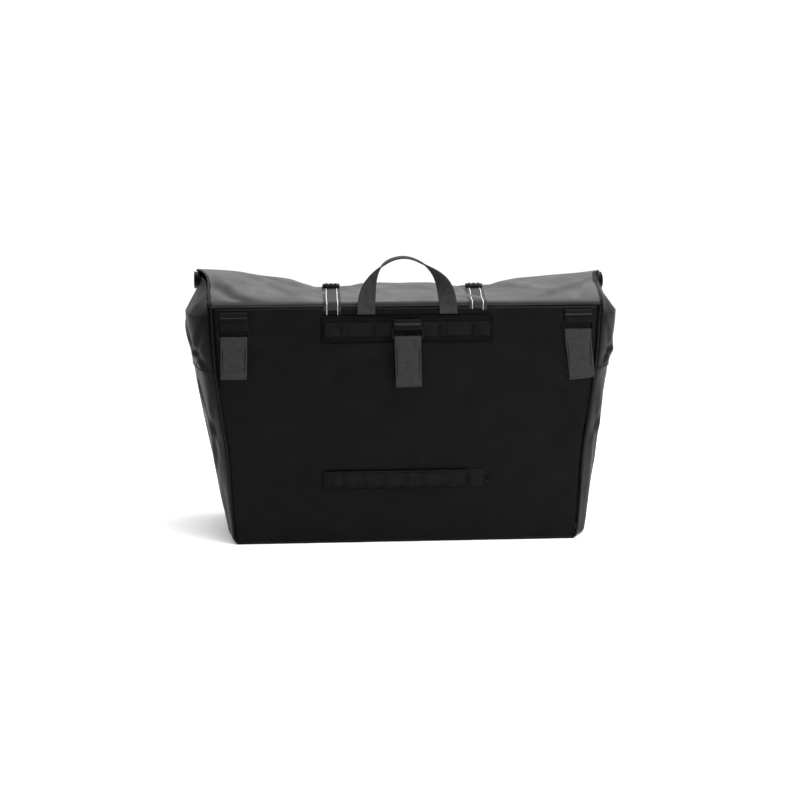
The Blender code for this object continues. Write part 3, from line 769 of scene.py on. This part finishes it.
def make_collar_back():
    rows = []
    for u in steps(-1, 1, 190):
        row = []
        for y, z in collar_line(u * COLLAR_HALF):
            half = collar_half(min(y, ROLL_Y)) + 0.0012 * rough(y * 30, u * 2)
            fade = smooth((0.060 - y) / 0.02)
            x = u * half
            row.append((x, y, z + collar_relief(x, y) * fade))
        rows.append(row)
    back = skin("collar_back_cloth", rows, LIT_CLOTH, 0.0014, offset=-1.0)
    start = (0, HINGE_Y - 0.0016, TOP_BACK + 0.0005)
    put_blended(back, "collar_fabric", start, (0, HINGE_Y, TOP_BACK + 0.0055), "collar_back")
    half = along(PANEL_HALF, TOP_BACK) - 0.003
    line = [(x, HINGE_Y, TOP_BACK + 0.0003 + 0.0002 * rough(x * 30, 1)) for x in steps(-half, half, 80)]
    put(tube("top_seam_roll", line, 0.0011, EDGE, sides=8), "bag_body", "seam_edge", "top_seam")


def make_roll():
    """The inner turns of the roll, seen at its two open ends."""
    rows = []
    for u in steps(-1, 1, 60):
        x = u * ROLL_HIGH.x * 1.008
        row = []
        for turn in steps(0.02, 2.25, 90):
            share = turn / 2.25
            a = ROLL_A - 0.0006 + (0.0125 - ROLL_A) * share + 0.0006 * rough(turn * 2, u)
            b = ROLL_B - 0.0010 + (0.0050 - ROLL_B) * share + 0.0005 * rough(turn * 2, u, 4)
            angle = -math.pi / 2 - 2 * math.pi * turn
            row.append((x, ROLL_Y + a * math.cos(angle), roll_centre(x) + b * math.sin(angle)))
        rows.append(row)
    # The roll's inner turns take the darker side-wall copy: painted shade inside the roll's ends.
    roll = skin("roll_turns", rows, SHADED_SIDE_CLOTH, 0.0010, offset=0.0)
    put(roll, "roll_top", "collar_fabric", "roll_bundle")


def end_top(y):
    """Height of the collar's closed ends: under the slope, then under the roll to the front fold."""
    if y <= COLLAR_END_Y:
        table = []
        for place, height in collar_line(COLLAR_HALF):
            onward = not table or place > table[-1][0] and height >= table[-1][1]
            if place <= COLLAR_END_Y + 0.002 and onward:
                table.append((place, height))
        return along(table, y)
    start = (COLLAR_END_Y + 0.003, ridge(COLLAR_HALF) - 2 * ROLL_B - 0.002)
    t = (y - start[0]) / (FRONT_EDGE[0] - start[0])
    return start[1] + (FRONT_EDGE[1] - start[1]) * smooth(t)


def make_collar_ends():
    places = steps(BACK_Y + WALL_INSET, COLLAR_END_Y, 44)
    places += steps(COLLAR_END_Y + 0.0015, FRONT_Y - WALL_INSET, 24)
    for name, side in SIDES.items():
        rows = []
        for t in steps(0, 1, 30):
            row = []
            for y in places:
                foot = wall_x(side, y, SPLIT)
                high = max(end_top(y), SPLIT + 0.0008)
                z = SPLIT + (high - SPLIT) * t
                rim = min(collar_half(min(y, COLLAR_END_Y)) + 0.0042, foot)
                lean = t if high > SPLIT + 0.004 else 0.0
                give = 0.0022 * rough(y * 22 + side, z * 34, side * 2) * math.sin(math.pi * t)
                row.append((side * (foot + (rim - foot) * lean ** 0.9 + give), y, z))
            rows.append(row if side > 0 else row[::-1])
        wall = skin(f"collar_{name}_end_cloth", rows, SHADED_SIDE_CLOTH, 0.0012)
        put_blended(wall, "collar_fabric", (0, 0, SPLIT), (0, 0, JOINED), f"collar_{name}_end")
        line = []
        for y, z in collar_line(side * COLLAR_HALF):
            if y < ROLL_Y - 0.006:
                line.append((side * (collar_half(y) + 0.0012), y, z + 0.0004))
        seam = tube(f"collar_{name}_seam", line[1:], 0.0016, EDGE, sides=8, wobble=0.15)
        put(seam, "roll_top", "seam_edge")


def make_collar_front():
    rows = []
    half, back = 0.2835, 0.034
    for x in steps(-half, half, 120):
        row = []
        high = ridge(x) - 2 * ROLL_B - 0.0016
        for t in steps(0, 1, 24):
            y = back + (FRONT_Y - 0.0036 - back) * t
            z = high + (FRONT_EDGE[1] + 0.0006 - high) * smooth(t)
            z += 0.0014 * rough(x * 16, y * 20, 6) * math.sin(math.pi * t)
            row.append((x, y, z))
        rows.append(row)
    front = skin("collar_front_cloth", rows, LIT_CLOTH, 0.0012)
    start = (0, FRONT_Y - 0.0022, SPLIT)
    put_blended(front, "collar_fabric", start, (0, 0.038, JOINED), "collar_front")


# ---------- webbing ----------

def closure_line(x):
    """Middle line of a closure strap, from under the patch to the front buckle."""
    lift = 0.0014
    top = ridge(x)
    line = [(PANEL_FACE - 0.0013, PATCH_HIGH.z - 0.010), (PANEL_FACE - 0.0013, TOP_BACK - 0.006),
            (PANEL_FACE - 0.0016, TOP_BACK + 0.0004), (PANEL_FACE - 0.0002, TOP_BACK + 0.0072)]
    for y, share in ((-0.080, 0.25), (-0.040, 0.62), (-0.008, 0.86), (COLLAR_END_Y, 1.0)):
        line.append((y, KNEE + share * (top - KNEE) + lift))
    line += [roll_place(x, a, 0.0022, 0.0018) for a in steps(math.radians(84), math.radians(-12), 5)]
    line.append((FRONT_EDGE[0] - 0.004, FRONT_EDGE[1] + 0.0052))
    line.append((FRONT_FACE + 0.0042, FRONT_EDGE[1] - 0.0005))
    line.append((FRONT_FACE + 0.0062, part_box("buckle_female_left")[1].z - 0.006))
    return smooth_line(line, 320)


def strap_drift(y, foot, top):
    """How far a closure strap lies to one side: a little at its foot, more at the roll, none in front."""
    rise = smooth((y - PANEL_FACE) / (COLLAR_END_Y - PANEL_FACE))
    return (foot + (top - foot) * rise) * (1 - smooth((y - 0.050) / 0.045))


def make_tracer(name, path, offset):
    """A flat yarn along a closure strap, broken into stitches on the back seam."""
    dash, pitch = 0.0019, 0.0028
    section = ((-0.00055, 0.0006), (-0.00045, 0.00094), (0.00045, 0.00094), (0.00055, 0.0006))
    sides = ((0, 4, 5, 1), (1, 5, 6, 2), (2, 6, 7, 3), (0, 3, 7, 4), (0, 1, 2, 3), (4, 7, 6, 5))
    points, faces = [], []
    run = 0.0
    for i in range(1, len(path) - 6):
        place, across, up = path[i]
        run += (place - path[i - 1][0]).length
        if place.z < TOP_BACK + 0.004 and place.y < 0 and run % pitch > dash:
            continue
        following, _, following_up = path[i + 1]
        base = len(points)
        for at, lift in ((place, up), (following, following_up)):
            points += [at + across * (offset + shift) + lift * rise for shift, rise in section]
        faces += [[base + k for k in side] for side in sides]
    return mesh_piece(name, points, faces, TRACER, smooth_shading=False)


def make_closure_straps():
    start = (0, PANEL_FACE - 0.0016, TOP_BACK - 0.0020)
    end = (0, PANEL_FACE + 0.0040, TOP_BACK + 0.0070)
    for name, side in SIDES.items():
        x = side * CLOSURE_X
        path = flat_path(closure_line(x), x)
        for point, _, _ in path:
            point.x += strap_drift(point.y, *STRAP_DRIFT[name])
        strap = sweep(f"closure_strap_{name}_web", path, web_section(WEB), STRAP_WEB)
        yarns = [make_tracer(f"yarn_{name}_{k}", path, k * 0.0076) for k in (-1, 1)]
        put_blended(fuse(f"closure_tracer_{name}", yarns), "webbing", start, end)
        put_blended(strap, "webbing", start, end, f"closure_strap_{name}", f"closure_strap_end_{name}")


def make_keepers():
    for name in SIDES:
        low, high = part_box(f"strap_keeper_{name}")
        for corner in (low, high):
            corner.x += STRAP_DRIFT[name][1]
        bar = rounded_box(f"keeper_{name}_bar", low, high, PLASTIC, 0.0016)
        middle = (low + high) / 2
        ribs = [bar]
        for k in (-1, 0, 1):
            at = middle.x + k * 0.0066
            ribs.append(rounded_box(f"rib_{name}_{k}", (at - 0.0018, low.y - 0.0006, low.z + 0.0012),
                                    (at + 0.0018, high.y + 0.0006, high.z + 0.0005), PLASTIC, 0.0005, 2))
        put(fuse(f"strap_keeper_{name}_bar", ribs), f"strap_keeper_{name}", "buckle_plastic",
            f"strap_keeper_{name}")


def make_patch():
    """The wide patch with its rows of stitching."""
    y = (PATCH_LOW.y + PATCH_HIGH.y) / 2
    middle = (PATCH_LOW.z + PATCH_HIGH.z) / 2
    path = []
    for x in steps(PATCH_LOW.x, PATCH_HIGH.x, 120):
        ripple = 0.0004 * rough(x * 40, 1) + 0.0005 * rough(x * 12, 5)
        path.append((Vector((x, y - ripple, middle + 0.0006 * rough(x * 9, 2))), Z, -Y))
    section = web_section(PATCH_HIGH.z - PATCH_LOW.z, 0.0018, 0.5)
    patch = sweep("hardware_patch_web", path, section, DARK_WEB)
    sew(patch, "hardware_patch", "handle_end_left", "handle_end_right")
    runs = box_runs(PATCH_LOW.x + 0.0030, PATCH_HIGH.x - 0.0030, PATCH_LOW.z + 0.0028,
                    PATCH_HIGH.z - 0.0028, PATCH_LOW.y - 0.0004)
    sew(stitches("patch_stitching", runs, width=0.0011, gap=0.0004))
    # Near-black rim round the patch: painted contact shadow.
    sew(shadow_border("patch_shadow_border", PATCH_LOW.x, PATCH_HIGH.x, PATCH_LOW.z, PATCH_HIGH.z, PATCH_LOW.y + 0.0004))


def make_accessory_loops():
    """Ribbed webbing that bulges between the bar tacks that hold it on the patch."""
    middle = (LOOPS_LOW.z + LOOPS_HIGH.z) / 2
    base = PATCH_LOW.y - 0.0013
    path = []
    for x in steps(LOOPS_LOW.x, LOOPS_HIGH.x, 200):
        lift = math.sin(math.pi * x / LOOP_PITCH) ** 2
        path.append((Vector((x, base - 0.0018 * smooth(lift * 1.6), middle)), Z, -Y))
    section = web_section(LOOPS_HIGH.z - LOOPS_LOW.z, 0.0013, 0.3)
    sew(sweep("accessory_loops_web", path, section, RIBBED_WEB), "accessory_loop_webbing")
    tacks = []
    for k in range(-3, 4):
        x = max(LOOPS_LOW.x + 0.0020, min(LOOPS_HIGH.x - 0.0020, k * LOOP_PITCH))
        for at in (x - 0.0009, x, x + 0.0009):
            ends = [(at, base - 0.0007, z) for z in (LOOPS_LOW.z + 0.001, LOOPS_HIGH.z - 0.001)]
            tacks.append((*ends, -Y))
    sew(stitches("loop_bar_tacks", tacks, width=0.0012, height=0.0006))


def handle_path(count):
    low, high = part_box("carry_handle")
    reach = 0.0573
    foot_y = -0.1050
    foot_z = low.z + 0.0002
    rise = high.z - foot_z - 0.0016
    twist_angle = math.radians(68)
    path = []
    for angle in steps(0, math.pi, count):
        near = min(angle, math.pi - angle)
        side = -1 if angle <= math.pi / 2 else 1
        sag = 0.0012 * rough(angle * 2.2, 4)
        shoulder = 1 + 0.05 * math.sin(2 * near) ** 2
        point = Vector((-reach * shoulder * math.cos(angle) - 0.0060 * math.sin(angle) ** 3,
                        foot_y + 0.005 * math.sin(angle), foot_z + rise * math.sin(angle) + sag))
        run = Vector((reach * math.sin(near), 0, rise * math.cos(near))).normalized()
        inward = Vector((-side * run.z, 0, -run.x))
        twist = math.pi / 2 * smooth(near / twist_angle)
        across = inward * math.cos(twist) + Y * math.sin(twist)
        run = Vector((run.x, 0, run.z * (-side)))
        path.append((point, across, across.cross(run)))
    return path


def make_handle():
    web = sweep("carry_handle_web", handle_path(150), web_section(WEB, 0.0020), HANDLE_WEB)
    put(web, "carry_handle", "webbing", "carry_handle")


def tab_line(y, z, end_z):
    """Middle line of webbing folded over a wire, its two layers hanging together down to end_z."""
    layers = EYE * 0.45
    lean, curl = -0.0030, 0.0012
    far = z + (end_z - z) * 0.30
    middle = z + (end_z - z) * 0.65
    line = [(y + lean + layers - curl * 0.4, end_z), (y + layers + lean * 0.6, middle),
            (y + layers + lean * 0.3, far)]
    line += [(y + EYE * math.cos(a), z + EYE * math.sin(a)) for a in steps(0, math.pi, 6)]
    line += [(y - layers + lean * 0.3, far), (y - layers + lean * 0.6, middle),
             (y + lean - layers - curl, end_z)]
    return smooth_line(line, 60)


def anchor_line(y, z, top):
    """Webbing from the back of a ring's bar up to a thick hem, down its face and round the bar."""
    tall = top - z
    line = [(y + 0.0016, z + 0.15 * tall), (y + 0.0012, z + 0.55 * tall), (y + 0.0010, top - 0.0014),
            (y - 0.0008, top - 0.0004), (y - 0.0046, top - 0.0007), (y - 0.0052, top - 0.0026),
            (y - 0.0018, z + 0.62 * tall), (y - 0.0014, z + 0.40 * tall)]
    for angle in steps(math.radians(215), math.radians(395), 6):
        line.append((y + EYE * math.cos(angle), z - EYE * abs(math.sin(angle))))
    return smooth_line(line, 90)


def make_ring(name):
    """A wire ring with round corners, hanging from its top bar."""
    x, y, z = pivot(name)
    half, drop, corner = 0.0212, 0.0145, 0.0034
    points = []
    for cx, cz, start in ((1, 0, 0), (-1, 0, 90), (-1, -1, 180), (1, -1, 270)):
        for angle in steps(start, start + 90, 6):
            turn = math.radians(angle)
            px = cx * (half - corner) + corner * math.cos(turn)
            pz = (-corner if cz == 0 else corner - drop) + corner * math.sin(turn)
            points.append(Vector((x + px, y + pz * 0.05, z + pz)))
    even = []
    for a, b in zip(points, points[1:] + points[:1]):
        even += [a, a.lerp(b, 0.5)]
    put(tube(f"{name}_wire", even, 0.0015, WIRE, sides=14, closed=True), name, "ring_wire", name)


def sway(path, bottom, lean, curl):
    """Lets a hanging tab drift sideways towards its free end and cup a little."""
    bent = []
    top = max(p.z for p, _, _ in path)
    for point, across, up in path:
        t = smooth((top - point.z) / (top - bottom))
        drift = Vector((lean * t, -0.0006 * t, 0))
        tilt = Matrix.Rotation(-lean * t / 0.055, 3, Y)
        bent.append((point + drift, (tilt @ across) * (1 - curl * t), up))
    return bent


def make_anchor(name):
    x, y, z = pivot(f"rack_ring_{name}")
    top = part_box(f"rack_anchor_{name}")[1].z
    path = flat_path(anchor_line(y, z, top), x)
    web = sweep(f"rack_anchor_{name}_web", path, web_section(WIDE_WEB, 0.0014), SHADED_ANCHOR_WEB)
    sew(web, f"rack_anchor_{name}")
    # The hem takes the lighter rack webbing colour: a painted highlight along the anchor's top fold.
    hem = [(y - 0.0018, top - 0.0008), (y - 0.0029, top - 0.0030), (y - 0.0031, top - HEM)]
    section = web_section(WIDE_WEB - 0.0006, 0.0012)
    sew(sweep(f"rack_anchor_{name}_hem", flat_path(hem, x), section, LIT_RACK_WEB))
    row = z + (top - z) * 0.42
    runs = [((x - 0.0165, y - 0.0022, row), (x + 0.0165, y - 0.0022, row), -Y)]
    sew(stitches(f"anchor_stitching_{name}", runs, width=0.0012, gap=0.0003))


def make_tab(name, lean, curl):
    body = f"rack_tab_{name}"
    x, y, z = pivot(body)
    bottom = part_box(body)[0].z
    path = sway(flat_path(tab_line(y, z, bottom + 0.0004), x), bottom, lean, curl)
    put(sweep(f"{body}_web", path, web_section(WIDE_WEB - 0.001), LIT_RACK_WEB), body, "webbing", body)
    lower = [(x + s * 0.0150 + lean * 0.75, y - 0.0050, bottom + 0.0120) for s in (-1, 1)]
    upper = [(x + s * 0.0158 + lean * 0.2, y - 0.0028, z - 0.012) for s in (-1, 1)]
    runs = [(*lower, -Y), (lower[0], upper[0], -Y), (lower[1], upper[1], -Y), (*upper, -Y)]
    put(stitches(f"{body}_stitching", runs, width=0.0010, gap=0.0003), body, "webbing")
    hook = rounded_box(f"{body}_hook", *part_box(f"rack_tab_hook_{name}"), HOOK, 0.0002, 2)
    put(hook, body, "hook_and_loop", f"rack_tab_hook_{name}")


def make_lower_base():
    middle = (STRAP_LOW.z + STRAP_HIGH.z) / 2
    y = (STRAP_LOW.y + STRAP_HIGH.y) / 2
    path = []
    for x in steps(STRAP_LOW.x, STRAP_HIGH.x, 80):
        rise = smooth((x - TAIL_HIGH.x + 0.004) / 0.012) * 0.0026
        fall = smooth((x - STRAP_HIGH.x + 0.020) / 0.010) * 0.0020
        path.append((Vector((x, y - max(0.0, rise - fall), middle)), Z, -Y))
    section = web_section(STRAP_HIGH.z - STRAP_LOW.z)
    sew(sweep("lower_strap_base_web", path, section, WEBBING), "lower_strap_base")
    runs = box_runs(STRAP_HIGH.x - 0.0135, STRAP_HIGH.x - 0.0025, STRAP_LOW.z + 0.0030,
                    STRAP_HIGH.z - 0.0030, STRAP_LOW.y - 0.0010, crossed=True)
    sew(stitches("lower_strap_box_stitching", runs, width=0.0013, height=0.0005, gap=0.0004))


def make_lower_tail():
    """The puffed tail with its stitched panel, and the fold it turns back on."""
    body = "lower_strap_tail"
    middle = (STRAP_LOW.z + STRAP_HIGH.z) / 2
    width = STRAP_HIGH.z - STRAP_LOW.z
    face = (TAIL_LOW.y + TAIL_HIGH.y) / 2
    path = []
    for x in steps(TAIL_LOW.x - 0.0012, TAIL_HIGH.x, 160):
        free = smooth((x - TAIL_LOW.x - 0.012) / 0.01)
        puff = 0.0009 * math.sin(x * 215 + 2.0 * rough(x * 14, 1)) * free + 0.0006 * rough(x * 50, 3)
        path.append((Vector((x, face - puff - 0.0004, middle)), Z, -Y))
    web = sweep("lower_strap_tail_web", path, web_section(width - 0.0006, rim=0.7), WEBBING)
    put(web, body, "webbing", body)
    at = TAIL_LOW.y - 0.0010
    low, high = STRAP_LOW.z + 0.0030, STRAP_HIGH.z - 0.0030
    fold = TAIL_LOW.x + 0.003
    runs = box_runs(TAIL_LOW.x + 0.0095, TAIL_HIGH.x - 0.0025, low, high, at)
    runs.append(((fold, at, low), (fold, at, high), -Y))
    put(stitches("lower_tail_stitching", runs, width=0.0012, height=0.0005, gap=0.0004), body, "webbing")
    # Near-black rim round the tail: painted contact shadow.
    edge = shadow_border("lower_tail_shadow_border", TAIL_LOW.x, TAIL_HIGH.x, STRAP_LOW.z, STRAP_HIGH.z, TAIL_HIGH.y)
    put(edge, body, "webbing")

    centre = Vector((TAIL_LOW.x - 0.0004, ((STRAP_LOW.y + STRAP_HIGH.y) / 2 + face) / 2, middle))
    path = []
    for a in steps(math.radians(80), math.radians(280), 10):
        out = Vector((math.cos(a), math.sin(a), 0))
        path.append((centre + out * 0.0022, Z, out))
    sew(sweep("lower_strap_fold", path, web_section(width - 0.0008, 0.0012), DARK_WEB))
    for node, holder in (("lower_strap_loop_patch", "bag_body"), ("lower_strap_hook_patch", body)):
        tape = rounded_box(f"{node}_tape", *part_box(node), HOOK, 0.0003, 2)
        put(tape, holder, "hook_and_loop", node)


# ---------- the front ----------

def make_front_straps():
    for name in SIDES:
        low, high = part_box(f"front_patch_{name}")
        patch = rounded_box(f"front_patch_{name}_cloth", low, high, LIT_CLOTH, 0.0008)
        put(patch, "bag_body", "collar_fabric", f"front_patch_{name}")
        x = (low.x + high.x) / 2
        a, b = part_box(f"front_strap_{name}")
        y = (a.y + b.y) / 2
        line = smooth_line([(y, a.z), (y, a.z + 0.03), (y, (a.z + b.z) / 2), (y, b.z)], 40)
        web = sweep(f"front_strap_{name}_web", flat_path(line, x), web_section(WEB), WEBBING)
        sew(web, f"front_strap_{name}")
        runs = box_runs(x - 0.0095, x + 0.0095, a.z + 0.003, high.z - 0.004, b.y + 0.0001, Y, crossed=True)
        for edge in (low.x + 0.0025, high.x - 0.0025):
            runs.append(((edge, high.y, low.z + 0.0025), (edge, high.y, high.z - 0.0025), Y))
        sew(stitches(f"front_stitching_{name}", runs))


def make_buckles():
    for name in SIDES:
        low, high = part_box(f"buckle_female_{name}")
        shell = rounded_box(f"buckle_socket_{name}", low, high, PLASTIC, 0.0028, 4)
        middle = (low + high) / 2
        cuts = [rounded_box("mouth", (low.x + 0.0030, low.y - 0.004, low.z - 0.004),
                            (high.x - 0.0030, high.y - 0.0023, high.z - 0.0055), PLASTIC, 0.0010, 2)]
        for edge in (low.x, high.x):
            cuts.append(rounded_box("window", (edge - 0.0045, low.y - 0.002, low.z + 0.0080),
                                    (edge + 0.0045, high.y + 0.002, low.z + 0.0180), PLASTIC, 0.0012, 3))
        cuts.append(rounded_box("dish", (middle.x - 0.0075, high.y - 0.0006, middle.z - 0.0075),
                                (middle.x + 0.0075, high.y + 0.004, middle.z + 0.0105), PLASTIC, 0.0005, 2))
        carve(shell, cuts)
        put(shell, "roll_top", "buckle_plastic", f"buckle_female_{name}")

        low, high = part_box(f"buckle_male_{name}")
        top = low.z + 0.0157  # of the plug's body, where its prongs and tongue start
        body = rounded_box(f"buckle_plug_{name}", low, (high.x, high.y, top), PLASTIC, 0.0022, 4)
        slot = rounded_box("slot", (low.x + 0.0036, low.y + 0.0013, low.z - 0.004),
                           (high.x - 0.0036, low.y + 0.0051, top + 0.004), PLASTIC, 0.0005, 2)
        carve(body, [slot])
        parts = [body]
        thick = 0.0028
        face = high.y - 0.0023 - thick
        for s in (-1, 1):
            at = (low.x + high.x) / 2 + s * 0.0098
            parts.append(rounded_box(f"prong_{name}_{s}", (at - 0.0024, face, top - 0.002),
                                     (at + 0.0024, face + thick, high.z - 0.001), PLASTIC, 0.0011, 3))
        at = (low.x + high.x) / 2
        parts.append(rounded_box(f"tongue_{name}", (at - 0.0030, face, top - 0.002),
                                 (at + 0.0030, face + thick, high.z), PLASTIC, 0.0011, 3))
        put(fuse(f"buckle_plug_{name}_whole", parts), f"buckle_male_{name}", "buckle_plastic",
            f"buckle_male_{name}")


def dress_kept_nodes():
    looks = {"back_board": BOARD, "base_board": BOARD, "roll_batten": BOARD, "board_sleeve": LINING}
    for node, finish in looks.items():
        piece = frame["nodes"][node]
        for slot in piece.material_slots:
            slot.material = finish


# ---------- stage ----------

def area(name, place, aim, size, power):
    light = bpy.data.lights.new(name, "AREA")
    light.shape = "RECTANGLE"
    light.size, light.size_y = size
    light.energy = power
    lamp = bpy.data.objects.new(name, light)
    lamp.location = place
    lamp.rotation_euler = (Vector(aim) - Vector(place)).to_track_quat("-Z", "Y").to_euler()
    bpy.context.collection.objects.link(lamp)


def make_stage():
    rows = [[(x, y, 0) for x in steps(-7, 7, 4)] for y in steps(1.3, -8, 4)]
    paper = Shader("floor_paper", (0.90, 0.90, 0.90), 0.9, 0.1)
    paper.vary_colour(paper.noise(3, 2), 0.995, 1.0)
    paper.shader.inputs["Emission Color"].default_value = (1, 1, 1, 1)
    paper.shader.inputs["Emission Strength"].default_value = 0.12
    skin("floor", rows, paper.material)

    world = bpy.data.worlds.new("studio")
    bpy.context.scene.world = world
    world.use_nodes = True
    tree = world.node_tree
    background = tree.nodes["Background"]
    coordinates = tree.nodes.new("ShaderNodeTexCoord")
    split = tree.nodes.new("ShaderNodeSeparateXYZ")
    tree.links.new(coordinates.outputs["Generated"], split.inputs["Vector"])
    span = tree.nodes.new("ShaderNodeMapRange")
    span.interpolation_type = "SMOOTHSTEP"
    for key, value in (("From Min", 0.25), ("From Max", 0.70), ("To Min", 0.42), ("To Max", 1.05)):
        span.inputs[key].default_value = value
    tree.links.new(split.outputs["Y"], span.inputs["Value"])
    tree.links.new(span.outputs["Result"], background.inputs["Strength"])
    background.inputs["Color"].default_value = (1, 1, 1, 1)

    area("top_softbox", (0.55, -0.45, 1.9), (0.0, -0.2, 0.0), (2.2, 1.6), 62)
    area("back_softbox", (0.0, 1.30, 1.7), (0.0, 0.2, 0.1), (3.0, 1.5), 24)
    area("right_strip", (0.75, -1.10, 0.80), (0.15, -0.1, 0.2), (0.3, 0.8), 8)
    bpy.context.scene.view_settings.view_transform = "Standard"


def make_camera():
    distance = 2.6
    azimuth, elevation = math.radians(-4.4), math.radians(10)
    target = Vector((-0.0098, PANEL_FACE, 0.2043))
    back = Vector((math.sin(azimuth) * math.cos(elevation), -math.cos(azimuth) * math.cos(elevation),
                   math.sin(elevation)))
    data = bpy.data.cameras.new("camera")
    data.lens = 83.3
    camera = bpy.data.objects.new("camera", data)
    camera.location = target + back * distance
    camera.rotation_euler = (-back).to_track_quat("-Z", "Y").to_euler()
    bpy.context.collection.objects.link(camera)
    bpy.context.scene.camera = camera


make_stage()
make_camera()
make_panel("back", PANEL_FACE, -1, TOP_BACK - 0.0003)
make_panel("front", FRONT_FACE, 1, TOP_FRONT + 0.0058)
make_edge_rolls("back", BACK_Y + 0.0030, 1, TOP_BACK + 0.0004)
make_edge_rolls("front", FRONT_Y - 0.0030, -1, TOP_FRONT)
make_side_walls()
make_base()
make_collar_back()
make_roll()
make_collar_ends()
make_collar_front()
make_closure_straps()
make_keepers()
make_patch()
make_accessory_loops()
make_handle()
for end, sideways, cupping in (("left", -0.0006, 0.02), ("centre", 0.0014, 0.02), ("right", 0.0062, 0.03)):
    make_anchor(end)
    make_ring(f"rack_ring_{end}")
    make_tab(end, sideways, cupping)
make_lower_base()
make_lower_tail()
make_front_straps()
make_buckles()
dress_kept_nodes()
